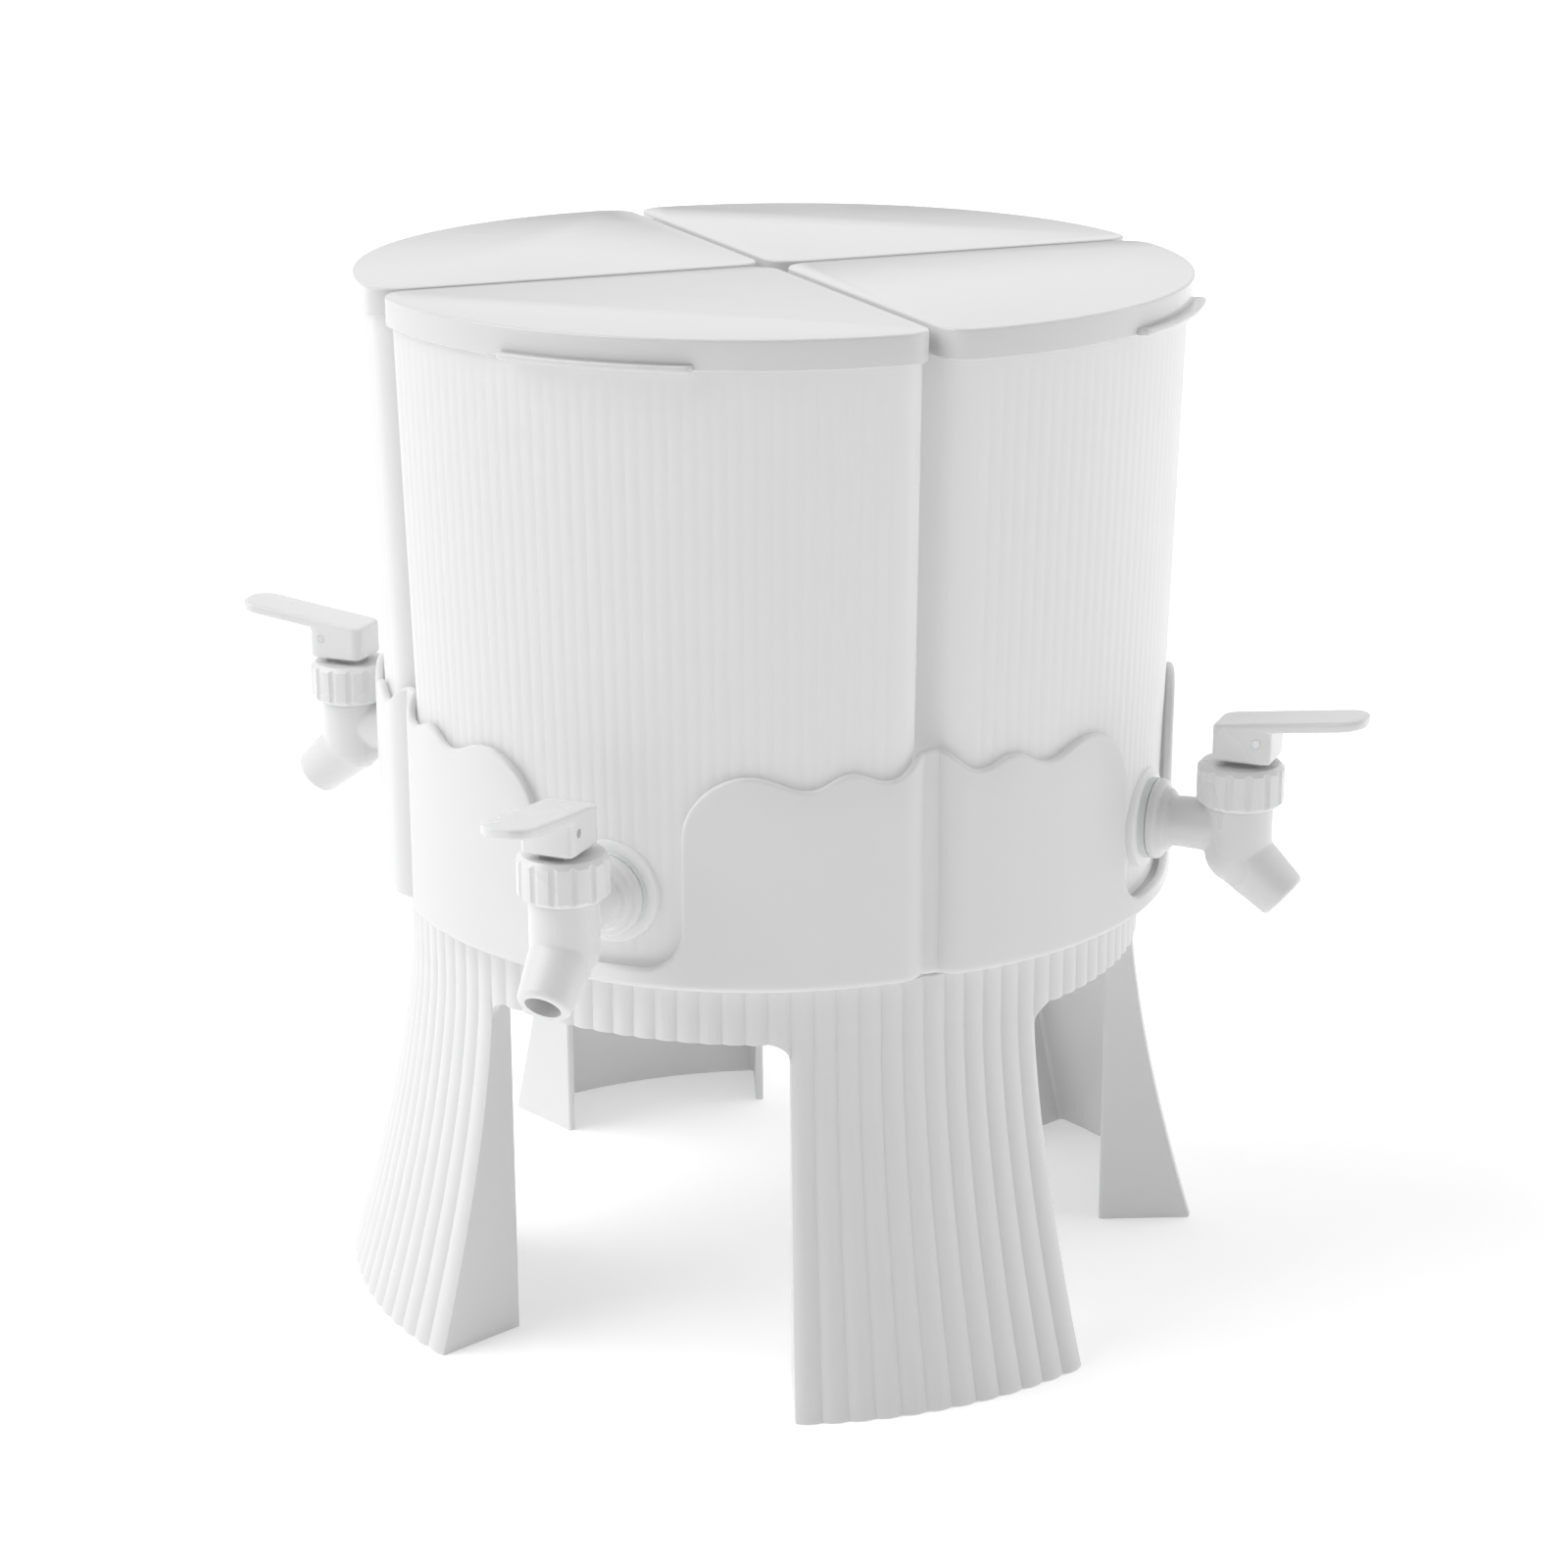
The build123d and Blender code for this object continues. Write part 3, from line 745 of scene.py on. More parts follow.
def about_z(across: float) -> Placing:
    """Placing of turned points about an upright axis on the tap's plane."""
    return lambda radius, turn, along: (
        across + radius * math.cos(turn), radius * math.sin(turn), along)


def about_x(height: float) -> Placing:
    """Placing of turned points about a level axis along +X at a height."""
    return lambda radius, turn, along: (
        along, radius * math.cos(turn), height + radius * math.sin(turn))


def about_y(across: float, height: float) -> Placing:
    """Placing of turned points about a level axis across the tap's plane."""
    return lambda radius, turn, along: (
        across + radius * math.cos(turn), along, height + radius * math.sin(turn))


def about_tilt(start: Place, tilt_degrees: float) -> Placing:
    """Placing of turned points about an axis in the tap's plane that falls away along +X.

    Args:
        start: Where the axis starts.
        tilt_degrees: How far it falls below +X.

    Returns:
        The placing.
    """
    fall = math.radians(tilt_degrees)
    ahead = Vector((math.cos(fall), 0, -math.sin(fall)))
    over = Vector((math.sin(fall), 0, math.cos(fall)))

    def place(radius: float, turn: float, along: float) -> Place:
        """Point at a radius, an angle and a distance along the falling axis."""
        found = Vector(start) + along * ahead + radius * math.cos(turn) * over
        return (found.x, found.y + radius * math.sin(turn), found.z)

    return place


@dataclass(frozen=True)
class Stand:
    """Fluted stand: apron ring, deck with its hub, and four flaring legs on the diagonals."""

    height: float = 126.0
    apron_radius: float = 113.0
    apron_height: float = 18.0
    apron_wall: float = 3.0
    deck_top: float = 113.0
    deck_bottom: float = 110.0
    deck_steps: int = 144
    foot_radius: float = 135.3
    flange_radius: float = 105.0
    leg_wall: float = 2.6
    flute_depth: float = 0.9
    flutes_per_quarter: int = 27
    flutes_per_leg: int = 12
    steps_per_flute: int = 10
    leg_rows: int = 26
    flare_power: float = 1.5
    arch_radius: float = 6.0
    hub_radius: float = 12.0
    hub_bottom: float = 97.0
    hub_top: float = 122.0
    bore_radius: float = 6.05
    edge: float = 0.5

    def pitch(self) -> float:
        """Angle of one flute."""
        return QUARTER / self.flutes_per_quarter

    def half_leg(self) -> float:
        """Half of a leg's angle."""
        return self.pitch() * self.flutes_per_leg / 2

    def leg_top(self) -> float:
        """Height where the legs meet the apron."""
        return self.height - self.apron_height

    def valley(self, height: float) -> float:
        """Radius between a leg's flutes at a height."""
        flare = (max(self.leg_top() - height, 0) / self.leg_top()) ** self.flare_power
        return self.apron_radius + (self.foot_radius - self.apron_radius) * flare - self.flute_depth

    def leg_section(self, height: float) -> list[Station]:
        """Outline of a leg about +X.

        Args:
            height: Height of the section.

        Returns:
            Its fluted front, its two flanges and the channel between them.
        """
        radius = self.valley(height)
        half = self.half_leg()
        steps = self.flutes_per_leg * self.steps_per_flute
        front = [replace(point, along=point.along * 2 * half, fluted=1.0)
                 for point in arc((0, 0), radius, -half, half, steps)]
        turn = math.radians(half)
        ahead = Vector((math.cos(turn), math.sin(turn)))
        inward = Vector((math.sin(turn), -math.cos(turn)))
        edge, wall, flange = self.edge, self.leg_wall, self.flange_radius
        back = radius - wall
        meet = math.sqrt(back ** 2 - wall ** 2)
        path = [(radius - edge, 0.0), (radius - 3 * edge, 0.0), ((radius + flange) / 2, 0.0),
                (flange + edge, 0.0), (flange, edge), (flange, wall - edge), (flange + edge, wall),
                ((meet + flange) / 2, wall), (meet - 2 * edge, wall)]
        near = [ahead * far + inward * depth for far, depth in path]
        bend = half - math.degrees(math.asin(wall / back)) - math.degrees(2 * edge / back)
        # The plain channel needs one step for four on the fluted front
        hollow = arc((0, 0), back, bend, -bend, steps // 4)
        upper = [Station(point.x, point.y, 0, 0) for point in near + hollow]
        lower = [Station(point.x, -point.y, 0, 0) for point in reversed(near)]
        return front + upper + lower

    def add_leg(self, shell: Shell, turn_degrees: float) -> None:
        """Add one leg, turned to its place.

        Args:
            shell: Shell that gets it.
            turn_degrees: Its direction about the pivot.
        """
        rows = range(1, self.leg_rows + 1)
        heights = [0.0, self.edge] + [self.leg_top() * index / self.leg_rows for index in rows]
        turn = Matrix.Rotation(math.radians(turn_degrees), 2)
        rings = []
        for height in heights:
            stations = []
            for point in self.leg_section(height):
                place = turn @ Vector((point.x, point.y))
                out = turn @ Vector((point.nx, point.ny))
                stations.append(replace(point, x=place.x, y=place.y, nx=out.x, ny=out.y))
            inset = self.edge if height == 0 else 0.0
            rings.append(shell.fluted_ring(stations, height, 1.0, inset))
        shell.closed(rings)

    def arch(self, angle: float) -> float:
        """Height of the apron's lower edge, which curves down into each leg.

        Args:
            angle: Direction about the pivot in degrees.

        Returns:
            The height.
        """
        low = self.leg_top()
        away = abs((angle % QUARTER) - QUARTER / 2) - self.half_leg()
        across = math.radians(away) * self.apron_radius
        if away < -self.pitch() / self.steps_per_flute / 2 or across > self.arch_radius:
            return low
        drop = self.arch_radius ** 2 - (self.arch_radius - max(across, 0)) ** 2
        return low - self.arch_radius + math.sqrt(max(drop, 0))

    def add_apron(self, shell: Shell) -> None:
        """Add the fluted ring above the legs.

        Args:
            shell: Shell that gets it.
        """
        count = 4 * self.flutes_per_quarter * self.steps_per_flute
        start = QUARTER / 2 - self.half_leg()
        edge = self.edge
        outer = self.apron_radius - self.flute_depth
        inner = self.apron_radius - self.apron_wall
        # Each row's radius, its share of the apron's height, its rise above that, and its flutes
        rows = [(outer, 0.0, 0.0, 1.0), (outer, 0.0, edge, 1.0), (outer, 0.5, 0.0, 1.0),
                (outer, 1.0, -edge, 1.0), (outer - edge, 1.0, 0.0, 1.0),
                (inner + edge, 1.0, 0.0, 0.0), (inner, 1.0, -edge, 0.0), (inner, 0.5, 0.0, 0.0),
                (inner, 0.0, 0.0, 0.0)]
        rings = []
        for radius, share, lift, amount in rows:
            ring = []
            for angle in [360 * index / count for index in range(count)]:
                turn = math.radians(angle)
                out = (math.cos(turn), math.sin(turn), 0.0)
                low = self.arch(angle)
                height = low + (self.height - low) * share + lift
                ring.append(shell.point((radius * out[0], radius * out[1], height),
                                        (angle - start) % 360, amount, out))
            rings.append(ring)
        shell.bridge(rings, looped=True)

    def build(self) -> list[bpy.types.Object]:
        """Make the stand.

        Returns:
            The stand's one piece.
        """
        shell = Shell()
        for index in range(4):
            self.add_leg(shell, QUARTER / 2 + index * QUARTER)
        self.add_apron(shell)
        edge, bore, hub = self.edge, self.bore_radius, self.hub_radius
        rim = self.apron_radius - self.apron_wall + edge / 2
        deck = [(bore, self.hub_bottom + edge), (bore + edge, self.hub_bottom),
                (hub - edge, self.hub_bottom), (hub, self.hub_bottom + edge),
                (hub, self.deck_bottom - 2 * edge), (hub + 2 * edge, self.deck_bottom),
                (rim, self.deck_bottom), (rim, self.deck_top), (hub + 2 * edge, self.deck_top),
                (hub, self.deck_top + 2 * edge), (hub, self.hub_top - edge),
                (hub - edge, self.hub_top), (bore + edge, self.hub_top),
                (bore, self.hub_top - edge)]
        shell.lathe(deck, about_z(0.0), self.deck_steps, looped=True)
        piece = shell.piece("stand_moulding")
        grow(piece, flute_tree(), {"Pitch": self.pitch(), "Height": self.flute_depth * MM,
                                   "Material": Finish.STAND.material()})
        shade(piece)
        return [dress(piece, Finish.STAND, "stand", "stand")]


@dataclass(frozen=True)
class Bearing:
    """The balls between the stand's deck and the tray."""

    ball_radius: float = 3.5
    ball_count: int = 16
    circle_radius: float = 68.0
    circle_height: float = 120.0

    def build(self) -> list[bpy.types.Object]:
        """Make the ring of balls.

        Returns:
            One piece with all the balls.
        """
        piece = Shell().piece("bearing_ball_ring")
        grow(piece, ball_tree(), {
            "Count": self.ball_count, "Circle Radius": self.circle_radius * MM,
            "Ball Radius": self.ball_radius * MM, "Circle Height": self.circle_height * MM,
            "Material": Finish.STEEL.material()})
        shade(piece)
        return [dress(piece, Finish.STEEL, "ball_ring", "bearing_balls")]


@dataclass(frozen=True)
class Tray:
    """Turning tray: lobed floor and wall with a wavy rim, notches for the taps, and spindle."""

    underside: float = 127.0
    floor: float = 130.0
    top: float = 190.5
    wall: float = 2.5
    reach: float = 123.0
    lobe_offset: float = 12.0
    corner: float = 10.0
    crease_radius: float = 116.0
    crest: float = 3.5
    crest_half_width: float = 52.0
    # Heights of the rim as shares of the crest, at shares of its half width from the crease
    wave_shares: tuple[tuple[float, float], ...] = (
        (0.0, 1.0), (0.27, -0.95), (0.48, -0.1), (0.71, -1.3), (1.0, -0.1))
    notch_half_width: float = 22.3
    notch_corner: float = 20.0
    notch_corner_steps: int = 14
    notch_foot: float = 12.0
    notch_foot_steps: int = 10
    notch_steps: int = 6
    sill: float = 3.0
    rim_radius: float = 1.2
    rim_angles: tuple[float, ...] = (20, 40, 65, 90, 115, 140, 160)
    wall_shares: tuple[float, ...] = (0.02, 0.2, 0.5, 0.8, 1.0)
    least_wall: float = 0.2
    foot_edge: float = 2.2
    floor_edge: float = 1.5
    middle_share: float = 0.6
    step: float = 0.9
    least_step: float = 0.03
    spindle_radius: float = 6.0
    spindle_bottom: float = 96.5
    spindle_edge: float = 0.5
    pilot_radius: float = 2.05
    pilot_top: float = 119.5

    def wave(self, across: float) -> float:
        """Height of the wavy rim above the plain top.

        Args:
            across: Distance from the crease.

        Returns:
            The height, which can be below the top.
        """
        share = min(abs(across) / self.crest_half_width, 1.0)
        for (start, low), (end, high) in zip(self.wave_shares, self.wave_shares[1:]):
            if share <= end:
                blend = (1 - math.cos(math.pi * (share - start) / (end - start))) / 2
                return self.crest * (low + (high - low) * blend)
        return self.crest * self.wave_shares[-1][1]

    def plan(self) -> tuple[float, float, float, tuple[float, float]]:
        """Angles and centre that the half plan is made of.

        Returns:
            The lobe's half turn, the corner's end, the crease's start, and the corner's centre.
        """
        quarter = Quarter(self.reach, 0.0, self.corner, self.corner, self.lobe_offset)
        centre = quarter.corner_centre()
        far = math.hypot(*centre)
        bearing = math.atan2(centre[1], centre[0])
        share = ((self.crease_radius ** 2 + far ** 2 - self.corner ** 2)
                 / (2 * self.crease_radius * far))
        start = bearing + math.acos(share)
        meet = (self.crease_radius * math.cos(start), self.crease_radius * math.sin(start))
        end = math.degrees(math.atan2(meet[1] - centre[1], meet[0] - centre[0]))
        return quarter.lobe_turn(), end, math.degrees(start), centre

    def bow(self) -> float:
        """Radius of the lobe."""
        return self.reach - self.lobe_offset

    def half_length(self) -> float:
        """Length of the outline from a tap's plane to the next crease."""
        turn, end, start, _ = self.plan()
        return (math.radians(turn) * self.bow() + math.radians(end - turn) * self.corner
                + math.radians(QUARTER / 2 - start) * self.crease_radius)

    def station(self, along: float) -> Station:
        """Point of the outline at a length from the tap's plane.

        Args:
            along: Length on the outline, negative on the other side of the tap.

        Returns:
            The point with its outward direction.
        """
        turn, end, start, centre = self.plan()
        side = -1.0 if along < 0 else 1.0
        rest = abs(along)
        lobe = math.radians(turn) * self.bow()
        bend = math.radians(end - turn) * self.corner
        if rest <= lobe:
            middle, radius, angle = (self.lobe_offset, 0), self.bow(), 0.0
        elif rest <= lobe + bend:
            middle, radius, angle, rest = centre, self.corner, turn, rest - lobe
        else:
            middle, radius, angle, rest = (0, 0), self.crease_radius, start, rest - lobe - bend
        point = arc(middle, radius, angle + math.degrees(rest / radius), 0, 1)[0]
        return Station(point.x, side * point.y, point.nx, side * point.ny)

    def rim(self) -> list[tuple[float, float]]:
        """Rim from the middle of a notch to the next crease.

        Returns:
            Pairs of the length on the outline and the height.
        """
        sill = self.floor + self.sill
        low = sill + self.notch_foot
        shoulder = self.top - self.notch_corner
        half, foot = self.notch_half_width, self.notch_half_width - self.notch_foot
        ends = self.crest * self.wave_shares[-1][1]
        last = 180 - math.degrees(math.asin((self.notch_corner + ends) / self.notch_corner))
        steps = self.notch_steps
        points = [(foot * index / steps, sill) for index in range(steps)]
        points += [(point.x, point.y) for point in arc(
            (foot, low), self.notch_foot, -90, 0, self.notch_foot_steps)]
        points += [(half, low + (shoulder - low) * index / steps) for index in range(1, steps)]
        points += [(point.x, point.y) for point in arc(
            (half + self.notch_corner, shoulder), self.notch_corner, 180, last,
            self.notch_corner_steps)]
        bow = self.bow()
        rim = [(bow * math.asin(across / bow), height) for across, height in points]
        start = rim[-1][0]
        length = self.half_length()
        count = round((length - start) / self.step)
        for index in range(1, count + 1):
            along = start + (length - start) * index / count
            point = self.station(along)
            rim.append((along, self.top + self.wave((point.x - point.y) / math.sqrt(2))))
        return rim

    def columns(self) -> list[tuple[float, float, float, float]]:
        """Columns of the wall from a notch's middle to the next crease.

        Returns:
            For each, the length on the outline, the height where the wall ends and the rounded
            rim starts, and the rim's outward direction along the outline and upwards.
        """
        rim = self.rim()
        found = []
        for index, (along, height) in enumerate(rim):
            before = rim[max(index - 1, 0)]
            after = rim[min(index + 1, len(rim) - 1)]
            ahead = Vector((after[0] - before[0], after[1] - before[1]))
            if index in (0, len(rim) - 1):
                ahead = Vector((1, 0))
            ahead.normalize()
            out = (-ahead.y, ahead.x)
            place = along - self.rim_radius * out[0]
            if found:
                place = max(place, found[-1][0] + self.least_step)
            found.append((place, height - self.rim_radius * out[1], *out))
        return found

    def build(self) -> list[bpy.types.Object]:
        """Make the tray.

        Returns:
            The tray's one piece.
        """
        half = self.columns()
        mirrored = [(-along, top, -across, up) for along, top, across, up in reversed(half[1:])]
        columns = [(Matrix.Rotation(math.radians(side.value), 2), *column)
                   for side in Side for column in mirrored + half[:-1]]
        shell = Shell()

        def ring(height: Callable[[float], float], inset: float = 0.0, reach: float = 0.0,
                 radius: float | None = None) -> list[int]:
            """Add a ring with one point for each column.

            Args:
                height: Gives its height for the height where a column's wall ends.
                inset: How far it is set in from the outline.
                reach: How far it is out from there in the rim's outward direction.
                radius: Its radius about the pivot, where it doesn't follow the outline.

            Returns:
                The numbers of its points.
            """
            places = []
            for turn, along, top, across, up in columns:
                point = self.station(along + reach * across)
                x, y, level = point.moved(inset, height(top) + reach * up)
                flat = turn @ Vector((x, y))
                if radius is not None:
                    flat = flat.normalized() * radius
                places.append((flat.x, flat.y, level))
            return shell.ring(places)

        spindle, low = self.spindle_radius, self.spindle_bottom
        middle = self.crease_radius * self.middle_share
        under = [(self.pilot_radius, self.pilot_top), (self.pilot_radius, low),
                 (spindle - self.spindle_edge, low), (spindle, low + self.spindle_edge),
                 (spindle, self.underside), (middle, self.underside)]
        rings = [ring(lambda top: height, radius=radius) for radius, height in under]
        for rise, inset in rounding(self.foot_edge):
            rings.append(ring(lambda top: self.underside + rise, inset))
        foot = self.underside + self.foot_edge
        for share in self.wall_shares:
            rings.append(ring(lambda top: foot + (top - foot) * share))
        for angle in self.rim_angles:
            swing = math.radians(angle)
            rings.append(ring(lambda top: top, self.wall * (1 - math.cos(swing)) / 2,
                              self.rim_radius * math.sin(swing)))
        bed = self.floor + self.floor_edge
        for share in reversed(self.wall_shares):
            rings.append(ring(
                lambda top: bed + (max(top, bed + self.least_wall) - bed) * share, self.wall))
        for inset, rise in rounding(self.floor_edge, 3)[1:]:
            rings.append(ring(lambda top: self.floor + rise, self.wall + inset))
        rings += [ring(lambda top: self.floor, radius=radius) for radius in (middle, spindle)]
        shell.closed(rings)
        piece = shell.piece("tray_moulding")
        shade(piece)
        return [dress(piece, Finish.STAND, "tray", "tray")]


@dataclass(frozen=True)
class Container:
    """Open quarter container with fine upright ribs and a flat pad for the tap."""

    bottom: float = 130.0
    height: float = 178.2
    base_reach: float = 118.3
    top_reach: float = 123.2
    side_gap: float = 3.3
    corner: float = 7.2
    centre_corner: float = 8.0
    wall: float = 2.0
    wall_steps: int = 6
    floor: float = 2.6
    foot_edge: float = 2.6
    floor_edge: float = 4.0
    rim_edge: float = 0.6
    rib_pitch: float = 3.9
    rib_height: float = 0.16
    steps_per_rib: int = 8
    rib_start: float = 8.0
    rib_end: float = 171.0
    rib_fade: float = 4.0
    pad_radius: float = 15.0
    pad_low: float = 115.8
    pad_high: float = 120.6
    pad_edge: float = 0.8
    pad_bevel: float = 0.3
    pad_steps: int = 96
    hole_radius: float = 7.6
    tap_height: float = 154.0
    overrun: float = 6.0

    def ribs(self) -> int:
        """How many ribs fit round the lobe."""
        base = Quarter(self.base_reach, self.side_gap, self.corner, self.centre_corner)
        return round(base.lobe_length() / self.rib_pitch)

    def plan(self, height: float, inset: float) -> list[Station]:
        """Outline of the container, which widens towards its top.

        Args:
            height: Height of the outline.
            inset: How far it is set in from the outer wall.

        Returns:
            The closed outline.
        """
        share = (height - self.bottom) / self.height
        reach = self.base_reach + (self.top_reach - self.base_reach) * share
        quarter = Quarter(reach, self.side_gap, self.corner, self.centre_corner,
                          lobe_steps=self.ribs() * self.steps_per_rib)
        return quarter.inset(inset).outline()

    def rows(self) -> list[tuple[float, float, float]]:
        """Rings of the skin, from the foot over the rim to the floor inside.

        Returns:
            Each ring's height, its inset from the outer wall and how far its ribs are raised.
        """
        top = self.bottom + self.height
        bed = self.bottom + self.floor
        edge, wall, steps = self.rim_edge, self.wall, self.wall_steps
        start = self.bottom + self.rib_start
        end = self.bottom + self.rib_end
        rows = [(self.bottom + rise, inset, 0.0) for rise, inset in rounding(self.foot_edge)]
        rows += [(start - self.rib_fade, 0.0, 0.0), (start, 0.0, 1.0)]
        rows += [(start + (end - start) * index / steps, 0.0, 1.0) for index in range(1, steps)]
        rows += [(end - self.rib_fade, 0.0, 1.0), (end, 0.0, 0.0), (top - edge, 0.0, 0.0),
                 (top - edge / 4, edge / 4, 0.0), (top, edge, 0.0), (top, wall - edge, 0.0),
                 (top - edge / 4, wall - edge / 4, 0.0), (top - edge, wall, 0.0)]
        rows += [(top + (bed + self.floor_edge - top) * index / steps, wall, 0.0)
                 for index in range(1, steps)]
        rows += [(bed + rise, wall + inset, 0.0) for inset, rise in rounding(self.floor_edge)]
        return rows

    def pattern(self) -> bpy.types.Object:
        """Make the container about +X.

        Returns:
            The shell with its ribs, pad and hole.
        """
        shell = Shell()
        shell.closed([shell.fluted_ring(self.plan(height, inset), height, amount)
                      for height, inset, amount in self.rows()])
        piece = shell.piece("container_pattern")
        grow(piece, flute_tree(), {"Pitch": 1 / self.ribs(), "Height": self.rib_height * MM,
                                   "Material": Finish.CONTAINER.material()})
        level = about_x(self.tap_height)
        pad = Shell()
        radius, face, edge = self.pad_radius, self.pad_high, self.pad_edge
        pad.lathe([(radius, self.pad_low), (radius, face - edge),
                   (radius - edge * self.pad_bevel, face - edge * self.pad_bevel),
                   (radius - edge, face)],
                  level, self.pad_steps)
        carve(piece, pad.piece("pad"), "UNION")
        hole = bar(self.hole_radius, self.pad_low - self.overrun, face + self.overrun, level,
                   self.pad_steps)
        carve(piece, hole, "DIFFERENCE")
        shade(piece)
        return piece

    def build(self) -> list[bpy.types.Object]:
        """Make the four containers."""
        return on_sides(self.pattern(), "container_shell", Finish.CONTAINER, "container",
                        "container")


@dataclass(frozen=True)
class Lid:
    """Quarter lid: flat top, skirt over the rim, plug inside it, and a finger lip."""

    top: float = 311.6
    thickness: float = 2.4
    skirt: float = 8.5
    wall: float = 1.5
    reach: float = 125.0
    side_gap: float = 1.5
    corner: float = 9.0
    edge: float = 0.7
    foot: float = 0.3
    plug_inset: float = 4.1
    plug_wall: float = 1.5
    plug_depth: float = 6.0
    lip_half_angle: float = 13.0
    lip_reach: float = 3.6
    lip_thickness: float = 1.8
    lip_edge: float = 0.7
    lip_edge_steps: int = 6
    lip_corner: float = 2.0
    lip_steps: int = 72
    lobe_offset: float = 12.0
    sharp_degrees: float = 30.0

    def cover_rows(self) -> list[tuple[float, float]]:
        """Rings of the cover, from its top over the skirt to the plug.

        Returns:
            Each ring's height and its inset.
        """
        low = self.top - self.skirt
        under = self.top - self.thickness
        end = under - self.plug_depth
        foot, wall, plug = self.foot, self.wall, self.plug_inset
        inner = plug + self.plug_wall
        rows = [(self.top - drop, inset) for drop, inset in rounding(self.edge)]
        rows += [(low + foot, 0.0), (low, foot), (low, wall - foot), (low + foot, wall),
                 (under - foot, wall), (under, wall + foot), (under, plug - foot),
                 (under - foot, plug), (end + foot, plug), (end, plug + foot),
                 (end, inner - foot), (end + foot, inner), (under - foot, inner),
                 (under, inner + foot)]
        return rows

    def lip_section(self, share: float) -> list[tuple[float, float]]:
        """Section of the lip, which is drawn in towards the lip's ends.

        Args:
            share: How far the lip is out here, from 0 to 1.

        Returns:
            Pairs of radius about the lobe's centre and height.
        """
        low = self.top - self.skirt
        high = low + self.lip_thickness
        inner = self.reach - self.wall - self.lobe_offset
        outer = self.reach - self.lobe_offset + self.lip_reach - self.lip_corner * (1 - share)
        edge, steps = self.lip_edge, self.lip_edge_steps
        nose = (arc((outer - edge, low + edge), edge, -90, 0, steps)
                + arc((outer - edge, high - edge), edge, 0, 90, steps))
        return [(inner, low + edge / 2), *((point.x, point.y) for point in nose),
                (inner, high - edge / 2)]

    def pattern(self) -> bpy.types.Object:
        """Make the lid about +X.

        Returns:
            The cover with its lip.
        """
        shell = Shell()
        plan = Quarter(self.reach, self.side_gap, self.corner, self.corner)
        shell.closed([shell.ring([point.moved(0.0, height)
                                  for point in plan.inset(inset).outline()])
                      for height, inset in self.cover_rows()])
        bow = self.reach - self.lobe_offset
        across = self.reach * math.sin(math.radians(self.lip_half_angle))
        half = math.degrees(math.asin(across / bow))
        sections = []
        for index in range(self.lip_steps + 1):
            angle = -half + 2 * half * index / self.lip_steps
            away = min(math.radians(half - abs(angle)) * bow / self.lip_corner, 1.0)
            share = math.sqrt(max(1 - (1 - away) ** 2, 0))
            turn = math.radians(angle)
            sections.append(shell.ring([
                (self.lobe_offset + radius * math.cos(turn), radius * math.sin(turn), height)
                for radius, height in self.lip_section(share)]))
        shell.closed(sections)
        piece = shell.piece("lid_pattern")
        shade(piece, self.sharp_degrees)
        return piece

    def build(self) -> list[bpy.types.Object]:
        """Make the four lids."""
        return on_sides(self.pattern(), "lid_cover", Finish.LID, "lid", "lid")


